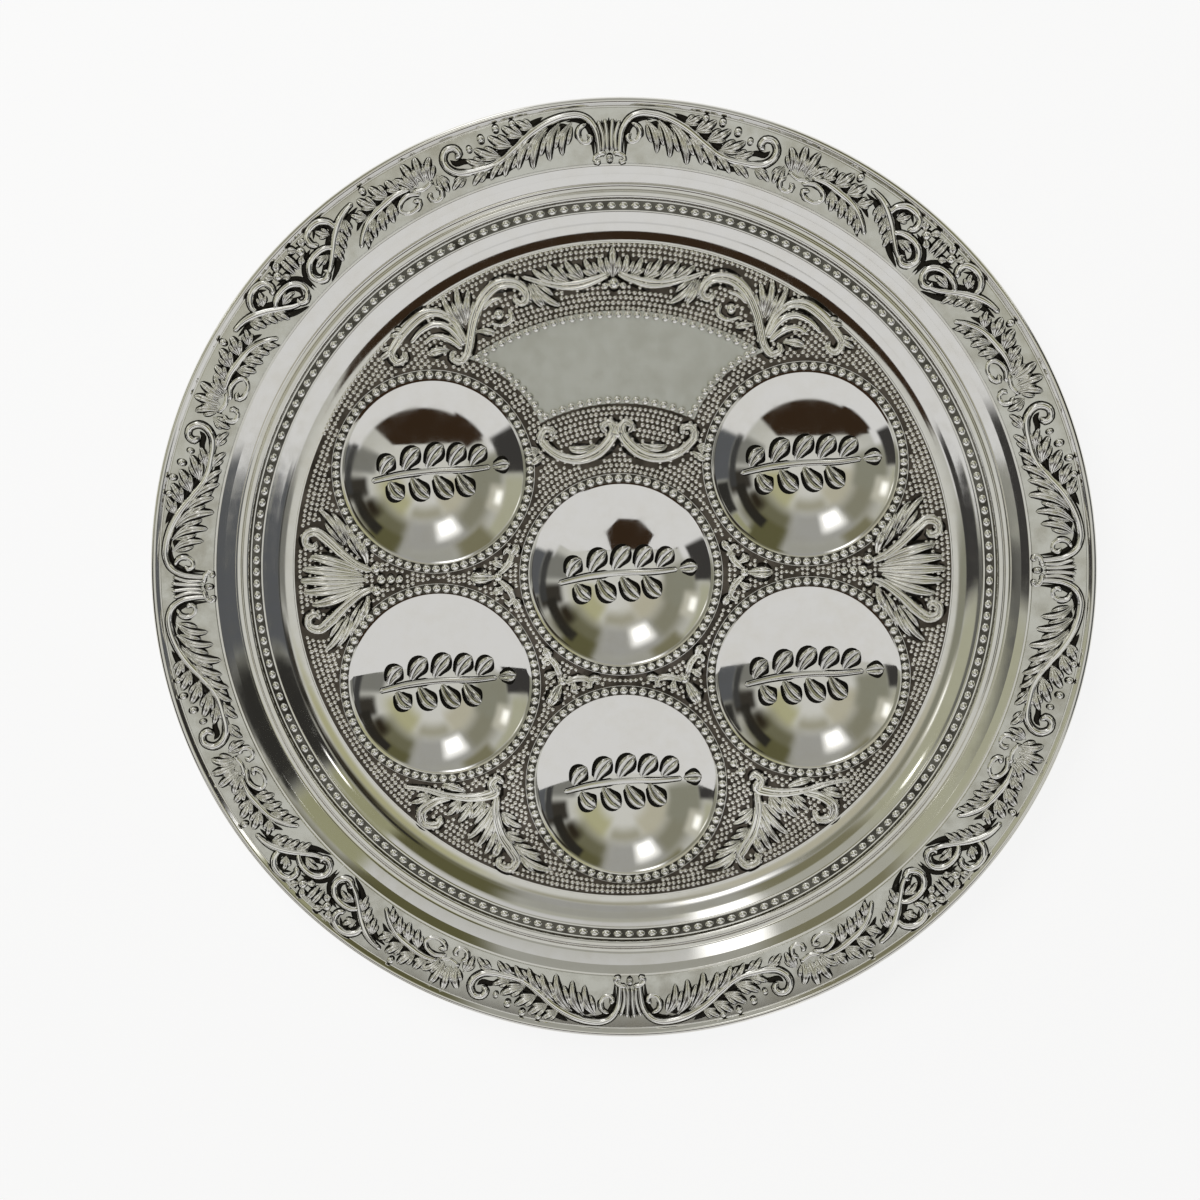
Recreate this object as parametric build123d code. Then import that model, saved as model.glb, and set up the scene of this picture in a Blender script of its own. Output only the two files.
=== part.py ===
from build123d import *
import os
from math import atan2, cos, radians, sin, sqrt, tan

# Seder plate, built up: a spun tray with a wired edge, border strips on its rim, a stippled panel
# on a ledge in its well, six spun dishes hung in the panel, beaded wires and applied leaf mounts.
# Millimetres, +Z up, +Y towards the cartouche, origin at the middle of the underside.

# Tray
PLATE_DIAMETER = 380.0
TRAY_SHEET = 0.7
EDGE_ROLL_RADIUS = 1.5
EDGE_ROLL_TURN = 240.0
EDGE_RISE_ANGLE = 40.0
EDGE_DROP = 0.3
RIM_WIRE_CLEARANCE = 0.2
RIM_WIDTH = 27.0
RIM_RISE = 6.8
RIM_COVE_WIDTH = 7.0
RIM_COVE_RADIUS = 2.4
GROOVE_WIDTH = 1.6
MOULDING_WIDTH = 3.6
MOULDING_RISE = 2.2
MOULDING_SIDE = 0.5
GROOVE_RISE = 0.6
BEAD_STEP_WIDTH = 5.2
BEAD_STEP_RISE = 5.4
WALL_SLOPE = 46.0
WALL_COVE_RADIUS = 17.5
WALL_TOE_ANGLE = 10.0
WALL_TOE_FLAT = 0.3
LEDGE_WIDTH = 6.0
BEND_RADIUS = 1.1
CREASE_RADIUS = 0.4
WELL_CORNER_RADIUS = 2.5

# Dish panel and dishes
PANEL_SHEET = 0.8
PANEL_EDGE_CLEARANCE = 0.5
DISH_EDGE_GAP = 6.0
DISH_GAP = 4.2
DISH_DEPTH = 9.5
DISH_SHEET = 0.7
DISH_FLANGE_WIDTH = 3.8
DISH_OPENING_CLEARANCE = 0.4
DISH_FLOOR_GAP = 0.4

# Beaded wires
DISH_BEAD_WIDTH = 3.2
STEP_BEAD_WIDTH = 3.8
FRAME_BEAD_WIDTH = 4.2

# Cartouche
SWAG_BAND_SHARE = 0.205
SCROLL_BAND_SHARE = 0.21
CARTOUCHE_DISH_GAP = 6.8
CARTOUCHE_SHEET = 0.6

# Border strips and applied mounts
BORDER_SHEET = 0.6
BORDER_RELIEF = 1.1
BORDER_MARGIN = 0.4
BORDER_JOINT = 0.3
MOUNT_THICKNESS = 0.9
MOUNT_RIB_RISE = 0.5
RIB_SHARE = 0.4
RIB_REACH = 0.8

# Heights that follow from the pieces lying on each other
panel_top = TRAY_SHEET + DISH_FLOOR_GAP + DISH_DEPTH
ledge_top = panel_top - PANEL_SHEET
dish_flange_top = panel_top + DISH_SHEET
step_top = panel_top + BEAD_STEP_RISE
rim_top = step_top + RIM_RISE

# Radii that follow from the rim inwards
plate_radius = PLATE_DIAMETER / 2
roll_circle_radius = plate_radius - EDGE_ROLL_RADIUS
roll_centre_height = rim_top - EDGE_DROP
rim_inner_radius = plate_radius - RIM_WIDTH
groove_outer_radius = rim_inner_radius - RIM_COVE_WIDTH
moulding_outer_radius = groove_outer_radius - GROOVE_WIDTH
step_outer_radius = moulding_outer_radius - MOULDING_WIDTH
step_inner_radius = step_outer_radius - BEAD_STEP_WIDTH
wall_toe_length = WALL_COVE_RADIUS * tan(radians((WALL_SLOPE - WALL_TOE_ANGLE) / 2)) + WALL_TOE_FLAT
wall_foot_height = ledge_top + wall_toe_length * sin(radians(WALL_TOE_ANGLE))
wall_foot_radius = step_inner_radius - (step_top - wall_foot_height) / tan(radians(WALL_SLOPE))
wall_toe_radius = wall_foot_radius - wall_toe_length * cos(radians(WALL_TOE_ANGLE))
panel_radius = wall_toe_radius - PANEL_EDGE_CLEARANCE
well_radius = panel_radius - LEDGE_WIDTH
dish_circle_radius = (2 * (panel_radius - DISH_EDGE_GAP) + DISH_GAP) / 3
dish_flange_radius = (dish_circle_radius - DISH_GAP) / 2
dish_mouth_radius = dish_flange_radius - DISH_FLANGE_WIDTH
swag_band_width = panel_radius * SWAG_BAND_SHARE
scroll_band_width = panel_radius * SCROLL_BAND_SHARE
cartouche_top_radius = panel_radius - swag_band_width
cartouche_foot_radius = dish_flange_radius + scroll_band_width
edge_start_angle = 90 + EDGE_RISE_ANGLE
edge_start = (roll_circle_radius + EDGE_ROLL_RADIUS * cos(radians(edge_start_angle)),
              roll_centre_height + EDGE_ROLL_RADIUS * sin(radians(edge_start_angle)))
edge_crease_radius = edge_start[0] - (edge_start[1] - rim_top) / tan(radians(EDGE_RISE_ANGLE))

DISH_ANGLES = {"top_left": 150, "top_right": 30, "lower_left": 210, "lower_right": 330, "bottom": 270}
DISH_CENTRES = {
    name: (dish_circle_radius * cos(radians(angle)), dish_circle_radius * sin(radians(angle)))
    for name, angle in DISH_ANGLES.items()
}
DISH_CENTRES["centre"] = (0.0, 0.0)


def spun(section):
    return revolve(Plane.XZ * section, Axis.Z)


# Spun tray: one sheet from the flat floor up over ledge, coved wall, bead step, moulding and rim,
# ending in an edge rolled over the wire; the wall leaves the ledge at a crease beside the panel
def tray():
    upper = [
        ((0, TRAY_SHEET), 0),
        ((well_radius, TRAY_SHEET), WELL_CORNER_RADIUS),
        ((well_radius, ledge_top), BEND_RADIUS),
        ((wall_toe_radius, ledge_top), CREASE_RADIUS),
        ((wall_foot_radius, wall_foot_height), WALL_COVE_RADIUS),
        ((step_inner_radius, step_top), BEND_RADIUS),
        ((step_outer_radius, step_top), CREASE_RADIUS),
        ((step_outer_radius + MOULDING_SIDE, step_top + MOULDING_RISE), BEND_RADIUS),
        ((moulding_outer_radius - MOULDING_SIDE, step_top + MOULDING_RISE), BEND_RADIUS),
        ((moulding_outer_radius, step_top + GROOVE_RISE), CREASE_RADIUS),
        ((groove_outer_radius, step_top + GROOVE_RISE), RIM_COVE_RADIUS),
        ((rim_inner_radius, rim_top), BEND_RADIUS),
        ((edge_crease_radius, rim_top), CREASE_RADIUS),
        (edge_start, 0),
    ]
    line = FilletPolyline(*[point for point, _ in upper], radius=[bend for _, bend in upper[1:-1]])
    roll = CenterArc((roll_circle_radius, roll_centre_height), EDGE_ROLL_RADIUS,
                     edge_start_angle, -EDGE_ROLL_TURN)
    sheet = offset(line + roll, TRAY_SHEET, side=Side.RIGHT)
    return spun(make_face(sheet))


def rim_wire():
    wire_radius = EDGE_ROLL_RADIUS - TRAY_SHEET - RIM_WIRE_CLEARANCE
    return Pos(0, 0, roll_centre_height) * Torus(roll_circle_radius, wire_radius)


# Wire that the beads are rolled into, lying flat at a height, with its shoulders bevelled
def bead_wire(radius, width, height):
    half, shoulder = width / 2, width / 4
    section = Polygon((radius - half, height), (radius + half, height), (radius + half, height + shoulder),
                      (radius + shoulder, height + half), (radius - shoulder, height + half),
                      (radius - half, height + shoulder), align=None)
    return spun(section)


# Stippled panel: a flat disc with an opening for each dish
def dish_panel():
    disc = Circle(panel_radius)
    for x, y in DISH_CENTRES.values():
        disc -= Pos(x, y) * Circle(dish_opening_radius)
    return Pos(0, 0, ledge_top) * extrude(disc, PANEL_SHEET)


# Spun dish: a spherical bowl with a flat flange that lies on the panel
bowl_radius = (dish_mouth_radius ** 2 + DISH_DEPTH ** 2) / (2 * DISH_DEPTH)
bowl_under_radius = bowl_radius + DISH_SHEET
bowl_centre_height = dish_flange_top - DISH_DEPTH + bowl_radius
dish_under_mouth_radius = sqrt(bowl_under_radius ** 2 - (bowl_centre_height - panel_top) ** 2)
dish_opening_radius = dish_under_mouth_radius + DISH_OPENING_CLEARANCE


def bowl_arc(radius, end):
    start = (0, bowl_centre_height - radius)
    half_turn = atan2(end[0], bowl_centre_height - end[1]) / 2
    middle = (radius * sin(half_turn), bowl_centre_height - radius * cos(half_turn))
    return ThreePointArc(start, middle, end)


def dish():
    inside = bowl_arc(bowl_radius, (dish_mouth_radius, dish_flange_top))
    under = bowl_arc(bowl_under_radius, (dish_under_mouth_radius, panel_top))
    flange = Polyline((dish_mouth_radius, dish_flange_top), (dish_flange_radius, dish_flange_top),
                      (dish_flange_radius, panel_top), (dish_under_mouth_radius, panel_top))
    axis = Line((0, bowl_centre_height - bowl_radius), (0, bowl_centre_height - bowl_under_radius))
    return spun(make_face([inside, *flange.edges(), under, axis]))


# Cartouche: a fan-shaped plate between the top dishes, with a bead frame on its margin
def cartouche_outline():
    fan = Circle(cartouche_top_radius) - Circle(cartouche_foot_radius)
    for name in ("top_left", "top_right"):
        x, y = DISH_CENTRES[name]
        fan -= Pos(x, y) * Circle(dish_flange_radius + CARTOUCHE_DISH_GAP)
    top_dish_height = DISH_CENTRES["top_left"][1]
    window = Rectangle(dish_circle_radius * 1.5, cartouche_top_radius, align=(Align.CENTER, Align.MIN))
    return fan & Pos(0, top_dish_height) * window


def cartouche_plate():
    return Pos(0, 0, panel_top) * extrude(cartouche_outline(), CARTOUCHE_SHEET)


def cartouche_beads():
    outline = cartouche_outline()
    band = outline - offset(outline, -FRAME_BEAD_WIDTH)
    return Pos(0, 0, panel_top + CARTOUCHE_SHEET) * extrude(band, FRAME_BEAD_WIDTH / 2)


# Leaf blade: two arcs from base to tip, bowed to the left of the way from base to tip
def blade_side(start, end, sag):
    along = (end - start).normalized()
    middle = (start + end) / 2 + Vector(-along.Y, along.X) * sag
    return Line(start, end) if abs(sag) < 0.01 else ThreePointArc(start, middle, end)


def blade(base, tip, bow, width):
    start, end = Vector(*base), Vector(*tip)
    return make_face([blade_side(start, end, bow + width / 2), blade_side(start, end, bow - width / 2)])


def mirrored(blades):
    return [((-base[0], base[1]), (-tip[0], tip[1]), -bow, width) for base, tip, bow, width in blades]


# Raised rib down the middle of a blade, short of its ends and on the same bow
def rib(base, tip, bow, width):
    start, end = Vector(*base), Vector(*tip)
    along = (end - start).normalized()
    middle = (start + end) / 2 + Vector(-along.Y, along.X) * bow * (1 - RIB_REACH ** 2)
    half = (end - start) * RIB_REACH / 2
    return blade(middle - half, middle + half, bow * RIB_REACH ** 2, width * RIB_SHARE)


# Applied mount: leaf blades and round knobs joined in one casting, a raised rib along each blade
def mount(blades, knobs):
    outline = Sketch() + [blade(*leaf) for leaf in blades]
    outline += [Pos(x, y) * Circle(radius) for x, y, radius in knobs]
    ribs = Sketch() + [rib(*leaf) for leaf in blades]
    casting = extrude(outline, MOUNT_THICKNESS) + extrude(ribs, MOUNT_THICKNESS + MOUNT_RIB_RISE)
    return Pos(0, 0, panel_top) * casting


# Ways to place mount points: in hundredths of the panel's radius, or on a band round its middle as
# degrees left of the top and a share of the way across the band
def on_panel(point):
    return (point[0] * panel_radius / 100, point[1] * panel_radius / 100)


def on_band(point, inner_radius, width):
    radius = inner_radius + point[1] * width
    return (-radius * sin(radians(point[0])), radius * cos(radians(point[0])))


def panel_mount(blades, knobs):
    unit = panel_radius / 100
    leaves = [(on_panel(base), on_panel(tip), bow * unit, width * unit) for base, tip, bow, width in blades]
    return mount(leaves, [(*on_panel((x, y)), radius * unit) for x, y, radius in knobs])


def band_mount(blades, knobs, middle, inner_radius, width):
    leaves = [(on_band(base, inner_radius, width), on_band(tip, inner_radius, width), bow * width, wide * width)
              for base, tip, bow, wide in blades]
    curls = [(*on_band((along, up), inner_radius, width), radius * width) for along, up, radius in knobs]
    curls += [(-x, y, radius) for x, y, radius in curls]
    bud_blades, bud_knobs = middle
    bud = [(on_band(base, inner_radius, width), on_band(tip, inner_radius, width), bow * width, wide * width)
           for base, tip, bow, wide in bud_blades]
    bud_curls = [(*on_band((along, up), inner_radius, width), radius * width) for along, up, radius in bud_knobs]
    return mount(leaves + mirrored(leaves) + bud, curls + bud_curls)


def top_swag():
    left = [
        ((0.3, 0.53), (17.0, 0.72), 0.11, 0.15),
        ((5.4, 0.48), (7.3, 0.80), -0.04, 0.12),
        ((9.6, 0.50), (11.5, 0.84), -0.04, 0.12),
        ((5.5, 0.45), (11.8, 0.23), 0.05, 0.11),
        ((11.3, 0.23), (28.6, 0.52), -0.35, 0.14),
        ((28.0, 0.56), (33.9, 0.06), 0.04, 0.13),
        ((30.4, 0.28), (42.9, 0.83), -0.35, 0.17),
        ((31.6, 0.55), (29.4, 0.83), 0.04, 0.12),
        ((34.5, 0.80), (33.9, 0.96), 0.02, 0.10),
    ]
    bud = [((0, 0.39), (0, 0.95), 0, 0.29)]
    curls = [(11.6, 0.24, 0.09), (33.7, 0.09, 0.08), (42.3, 0.83, 0.09)]
    return band_mount(left, curls, (bud, []), cartouche_top_radius, swag_band_width)


def double_scroll():
    left = [((4.8, 0.67), (28.3, 0.86), 0.32, 0.115)]
    curls = [(5.1, 0.68, 0.10), (27.7, 0.84, 0.09)]
    bead = [(0, 0.61, 0.13)]
    return band_mount(left, curls, ([], bead), dish_flange_radius, scroll_band_width)


def palmette_left():
    lobes = [
        ((-75, 0), (-97, 0), 0, 4.5),
        ((-77, 0.4), (-93.5, 12.7), -3.0, 3.7),
        ((-77, -0.4), (-93.5, -12.7), 3.0, 3.7),
        ((-84.5, 8.6), (-91.6, 20.2), -1.5, 2.7),
        ((-84.5, -8.6), (-91.6, -20.2), 1.5, 2.7),
        ((-79, 0), (-67, 0), 0, 2.7),
    ]
    return panel_mount(lobes, [(-93.6, 12.5, 1.9), (-93.6, -12.5, 1.9), (-77.8, 0, 2.4)])


def spray_lower_left():
    leaves = [
        ((-36.6, -64.3), (-67.3, -68), 1.5, 4.5),
        ((-39.6, -65.8), (-56, -76.3), 1.9, 4.0),
        ((-38.1, -65.8), (-45.6, -81.5), 1.5, 4.0),
        ((-37, -64.3), (-32.9, -89), -1.9, 4.2),
        ((-35.1, -82.2), (-22.4, -90.8), -2.2, 2.7),
    ]
    return panel_mount(leaves, [(-37.4, -65, 2.4), (-56, -75.8, 1.9)])


def gap_spray(dishes, turn):
    x, y = gap_middle(*dishes)
    reach = dish_circle_radius * 0.12
    arms = []
    for arm in (0, 120, 240):
        way = radians(turn + arm)
        arms.append(((x, y), (x + reach * cos(way), y + reach * sin(way)), 0, reach * 0.36))
    return mount(arms, [(x, y, reach * 0.25)])


def gap_middle(*dishes):
    return [sum(DISH_CENTRES[name][axis] for name in dishes) / 3 for axis in (0, 1)]


# Border strip: a quarter of the rim, low leaf relief mirrored about a palmette at its middle.
# Points on it are degrees from the palmette and hundredths of the strip's width from its inner edge
border_inner_radius = rim_inner_radius + BEND_RADIUS
border_outer_radius = edge_crease_radius - BORDER_MARGIN
border_width = border_outer_radius - border_inner_radius


def on_rim(along, up):
    radius = border_inner_radius + up * border_width / 100
    return (radius * sin(radians(along)), radius * cos(radians(along)))


def border_leaves():
    half = [
        ((0.6, 11), (5.6, 91), 11, 8),
        ((5.5, 93), (19.0, 27), -7, 12),
        ((5.2, 82), (8.5, 18), 5, 14),
        ((8.0, 77), (11.2, 8), 6, 15),
        ((11.0, 64), (14.4, 8), 6, 14),
        ((14.5, 45), (17.5, 9), 5, 12),
        ((15.5, 36), (22.2, 64), -20, 11),
        ((22.2, 59), (18.8, 93), 11, 11),
        ((15.0, 45), (19.5, 73), 14, 9),
        ((25.0, 41), (25.2, 97), 0, 20),
        ((24.5, 43), (36.6, 12), 18, 11),
        ((27.4, 43), (29.3, 10), 5, 12),
        ((30.4, 45), (32.2, 11), 5, 12),
        ((28.5, 55), (30.2, 95), -5, 12),
        ((31.6, 55), (33.2, 91), -5, 12),
        ((32.5, 84), (41.0, 18), 14, 12),
        ((40.0, 57), (38.6, 97), -11, 15),
        ((38.6, 27), (43.4, 11), 27, 10),
    ]
    part = border_width / 100
    return [(on_rim(*base), on_rim(*tip), bow * part, width * part) for base, tip, bow, width in half]


def border_strip():
    ring = Circle(border_outer_radius) - Circle(border_inner_radius)
    corner = Polygon((0, 0), (plate_radius, plate_radius), (-plate_radius, plate_radius), align=None)
    band = ring & Pos(0, BORDER_JOINT) * corner
    leaves = border_leaves()
    palmette = [(on_rim(0, 14), on_rim(0, 93), 0, border_width * 0.15)]
    relief = Sketch() + [blade(*leaf) for leaf in leaves + mirrored(leaves) + palmette]
    strip = extrude(band, BORDER_SHEET) + extrude(relief & band, BORDER_SHEET + BORDER_RELIEF)
    return Pos(0, 0, rim_top) * strip


os.makedirs("parts", exist_ok=True)


def save(name, solid):
    export_step(solid, f"parts/{name}.step")


save("tray", tray())
save("rim_wire", rim_wire())
strip = border_strip()
for side, turn in (("top", 0), ("right", -90), ("bottom", 180), ("left", 90)):
    save(f"rim_border_{side}", Rot(0, 0, turn) * strip)
save("step_bead_wire", bead_wire((step_inner_radius + step_outer_radius) / 2, STEP_BEAD_WIDTH, step_top))
save("dish_panel", dish_panel())
one_dish = dish()
dish_beads = bead_wire(dish_mouth_radius + DISH_FLANGE_WIDTH / 2, DISH_BEAD_WIDTH, dish_flange_top)
for name, (x, y) in DISH_CENTRES.items():
    save(f"dish_{name}", Pos(x, y) * one_dish)
    save(f"dish_beads_{name}", Pos(x, y) * dish_beads)
save("cartouche_plate", cartouche_plate())
save("cartouche_beads", cartouche_beads())
save("top_swag", top_swag())
save("double_scroll", double_scroll())
palmette = palmette_left()
save("palmette_left", palmette)
save("palmette_right", mirror(palmette, about=Plane.YZ))
spray = spray_lower_left()
save("spray_lower_left", spray)
save("spray_lower_right", mirror(spray, about=Plane.YZ))
save("gap_spray_left", gap_spray(("centre", "top_left", "lower_left"), 180))
save("gap_spray_right", gap_spray(("centre", "top_right", "lower_right"), 0))
save("gap_spray_lower_left", gap_spray(("centre", "lower_left", "bottom"), 0))
save("gap_spray_lower_right", gap_spray(("centre", "lower_right", "bottom"), 180))
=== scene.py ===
from math import acos, atan2, cos, pi, radians, sin, sqrt, tan

import bmesh
import bpy
import numpy as np
from mathutils import Matrix, Vector


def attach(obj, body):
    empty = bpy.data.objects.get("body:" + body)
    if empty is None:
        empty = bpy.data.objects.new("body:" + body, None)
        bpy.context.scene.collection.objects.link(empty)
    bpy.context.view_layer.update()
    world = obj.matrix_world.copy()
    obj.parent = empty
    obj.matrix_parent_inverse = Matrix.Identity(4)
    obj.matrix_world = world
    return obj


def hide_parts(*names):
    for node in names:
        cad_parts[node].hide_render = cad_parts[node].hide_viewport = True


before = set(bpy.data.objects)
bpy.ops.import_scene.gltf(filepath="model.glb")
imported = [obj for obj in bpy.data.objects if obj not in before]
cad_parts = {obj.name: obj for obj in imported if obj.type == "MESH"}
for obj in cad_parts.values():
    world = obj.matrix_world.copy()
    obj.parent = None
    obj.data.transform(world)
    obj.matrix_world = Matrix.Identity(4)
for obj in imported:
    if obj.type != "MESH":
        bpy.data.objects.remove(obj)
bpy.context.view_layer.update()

# Tray: one disc of brass sheet spun over a former into a flat floor, a ledge, a coved wall, a step
# for beads, a round moulding and a broad flat rim, its edge rolled over a wire. It is silver plated
# and polished, with a thin warm tarnish that hand polishing never quite takes off.
SHEET = 0.7
PLATE_RADIUS = 190.0
LEDGE_TOP = 9.8
STEP_TOP = 16.0
RIM_TOP = 22.8
WELL_RADIUS = 128.22
WALL_TOE_RADIUS = 134.72
WALL_FOOT_RADIUS = 140.62
WALL_FOOT_HEIGHT = 10.84
STEP_INNER_RADIUS = 145.6
STEP_OUTER_RADIUS = 150.8
MOULDING_OUTER_RADIUS = 154.4
GROOVE_OUTER_RADIUS = 156.0
SHOULDER_RADIUS = 160.3
RIM_INNER_RADIUS = 163.4
EDGE_CREASE_RADIUS = 186.52
ROLL_RADIUS = 1.5
ROLL_CIRCLE_RADIUS = PLATE_RADIUS - ROLL_RADIUS
ROLL_DROP = 0.3
ROLL_HEIGHT = RIM_TOP - ROLL_DROP
ROLL_START = radians(130)
ROLL_SWEEP = radians(240)
ROLL_STEPS = 32
MOULDING_RISE = 2.2
MOULDING_LEAN = 0.5
GROOVE_RISE = 0.6
SHOULDER_DROP = 1.9
WELL_BEND = 2.5
COVE_BEND = 17.5
GROOVE_BEND = 1.8
RIM_BEND = 0.8
ROUND_BEND = 1.1
TIGHT_BEND = 0.4


def rounded_line(corners):
    """Points along a line of corners (radius, height, bend), each corner rounded by its bend."""
    line = [corners[0][:2]]
    for before, corner, after in zip(corners, corners[1:], corners[2:]):
        here, bend = np.array(corner[:2]), corner[2]
        back = np.array(before[:2]) - here
        on = np.array(after[:2]) - here
        back, on = back / np.linalg.norm(back), on / np.linalg.norm(on)
        turn = pi - acos(np.clip(back @ on, -1, 1))
        middle = here + (back + on) / np.linalg.norm(back + on) * bend / cos(turn / 2)
        first = here + back * bend * tan(turn / 2) - middle
        last = here + on * bend * tan(turn / 2) - middle
        steps = max(4, int(turn / radians(7)))
        for k in range(steps + 1):
            way = first * sin((1 - k / steps) * turn) + last * sin(k / steps * turn)
            line.append(tuple(middle + way / sin(turn)))
    return line + [corners[-1][:2]]


def under_side(line, thickness):
    """The line moved down by the thickness of the sheet, square to the line."""
    points = np.array(line)
    ways = np.gradient(points, axis=0)
    steps = np.diff(points, axis=0)
    steps /= np.linalg.norm(steps, axis=1, keepdims=True)
    ways[1:-1] = steps[:-1] + steps[1:]
    ways /= np.linalg.norm(ways, axis=1, keepdims=True)
    return [tuple(p + thickness * np.array((w[1], -w[0]))) for p, w in zip(points, ways)]


def finished_mesh(form, name, material, crease):
    """A smooth mesh of one material from a bmesh form, sharp where it bends by more than the crease."""
    bmesh.ops.recalc_face_normals(form, faces=form.faces)
    mesh = bpy.data.meshes.new(name)
    form.to_mesh(mesh)
    form.free()
    mesh.shade_smooth()
    mesh.set_sharp_from_angle(angle=radians(crease))
    mesh.materials.append(material)
    return mesh


def spun_mesh(name, outline, material, turns=192):
    """A mesh spun about the upright axis from a closed outline of (radius, height) in millimetres."""
    form = bmesh.new()
    rings = []
    for radius, height in outline:
        if radius < 1e-6:
            rings.append([form.verts.new((0, 0, height / 1000))])
        else:
            ways = [2 * pi * k / turns for k in range(turns)]
            ring = [(radius * cos(way) / 1000, radius * sin(way) / 1000, height / 1000) for way in ways]
            rings.append([form.verts.new(point) for point in ring])
    for a, b in zip(rings, rings[1:] + rings[:1]):
        for k in range(turns):
            corners = [a[k % len(a)], a[(k + 1) % len(a)], b[(k + 1) % len(b)], b[k % len(b)]]
            distinct = list(dict.fromkeys(corners))
            if len(distinct) > 2:
                form.faces.new(distinct)
    return finished_mesh(form, name, material, 35)


def put(tree, kind, feeds=None, **settings):
    """Adds a node with its settings; feeds sets its sockets to values, or links sockets or nodes to them."""
    step = tree.nodes.new(kind)
    for key, value in settings.items():
        setattr(step, key, value)
    for socket, feed in (feeds or {}).items():
        if isinstance(feed, bpy.types.Node):
            feed = feed.outputs[0]
        if isinstance(feed, bpy.types.NodeSocket):
            tree.links.new(feed, step.inputs[socket])
        else:
            step.inputs[socket].default_value = feed
    return step


def reckon(tree, operation, *feeds):
    """Adds a Math node that works on its feeds in their order."""
    return put(tree, "ShaderNodeMath", dict(enumerate(feeds)), operation=operation)


def tarnish_group():
    """Warm cloudy tarnish and fine polishing scratches, shared by every plated surface."""
    group = bpy.data.node_groups.new("tarnish", "ShaderNodeTree")
    for label, kind in (("Silver", "Color"), ("Tarnish", "Color"), ("Amount", "Float"), ("Smooth", "Float"),
                        ("Dull", "Float")):
        group.interface.new_socket(label, in_out="INPUT", socket_type="NodeSocket" + kind)
    for label, kind in (("Color", "Color"), ("Roughness", "Float"), ("Height", "Float")):
        group.interface.new_socket(label, in_out="OUTPUT", socket_type="NodeSocket" + kind)
    given = put(group, "NodeGroupInput").outputs
    place = put(group, "ShaderNodeTexCoord").outputs["Object"]
    cloud = put(group, "ShaderNodeTexNoise",
                {"Vector": place, "Scale": 14.0, "Detail": 5.0, "Roughness": 0.6})
    fleck = put(group, "ShaderNodeTexNoise", {"Vector": place, "Scale": 160.0, "Detail": 3.0})
    both = reckon(group, "MULTIPLY", cloud.outputs["Fac"], fleck.outputs["Fac"])
    mask = put(group, "ShaderNodeMapRange", {"Value": both, "From Min": 0.18, "From Max": 0.42})
    share = reckon(group, "MULTIPLY", mask, given["Amount"])
    colour = put(group, "ShaderNodeMix", {"Factor": share, "A": given["Silver"], "B": given["Tarnish"]},
                 data_type="RGBA")
    scratches = []
    for turn in (0.4, 1.3, 2.5):
        lay = put(group, "ShaderNodeMapping",
                  {"Vector": place, "Rotation": (0, 0, turn), "Scale": (1800.0, 45.0, 300.0)})
        lines = put(group, "ShaderNodeTexNoise", {"Vector": lay, "Scale": 1.0, "Detail": 1.0})
        scratches.append(lines.outputs["Fac"])
    pair = reckon(group, "MULTIPLY", scratches[0], scratches[1])
    scratch = reckon(group, "MULTIPLY", pair, scratches[2])
    wear = reckon(group, "ADD", mask, scratch)
    rough = put(group, "ShaderNodeMapRange",
                {"Value": wear, "From Min": 0.05, "From Max": 0.9, "To Min": given["Smooth"],
                 "To Max": given["Dull"]})
    put(group, "NodeGroupOutput",
        {"Color": colour.outputs["Result"], "Roughness": rough, "Height": scratch})
    return group


TARNISH = tarnish_group()


def plated(name, silver, tarnish, amount, smooth, dull, scratch):
    """A plated metal of the given silver and tarnish colours and its range of gloss."""
    material = bpy.data.materials.new(name)
    material.use_nodes = True
    tree = material.node_tree
    finish = tree.nodes["Principled BSDF"]
    finish.inputs["Metallic"].default_value = 1.0
    coat = put(tree, "ShaderNodeGroup", {}, node_tree=TARNISH)
    for label, value in (("Silver", (*silver, 1)), ("Tarnish", (*tarnish, 1)), ("Amount", amount),
                         ("Smooth", smooth), ("Dull", dull)):
        coat.inputs[label].default_value = value
    bump = put(tree, "ShaderNodeBump",
               {"Height": coat.outputs["Height"], "Strength": scratch, "Distance": 0.00004})
    tree.links.new(coat.outputs["Color"], finish.inputs["Base Color"])
    tree.links.new(coat.outputs["Roughness"], finish.inputs["Roughness"])
    tree.links.new(bump.outputs[0], finish.inputs["Normal"])
    return material


def set_out(name, data):
    """A new object in the scene."""
    made = bpy.data.objects.new(name, data)
    bpy.context.scene.collection.objects.link(made)
    return made


def fitted(name, mesh, slot, *nodes):
    """Puts a finished mesh on the plate in place of its CAD nodes."""
    piece = set_out(name, mesh)
    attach(piece, "root")
    if nodes:
        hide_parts(*nodes)
    return piece


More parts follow.
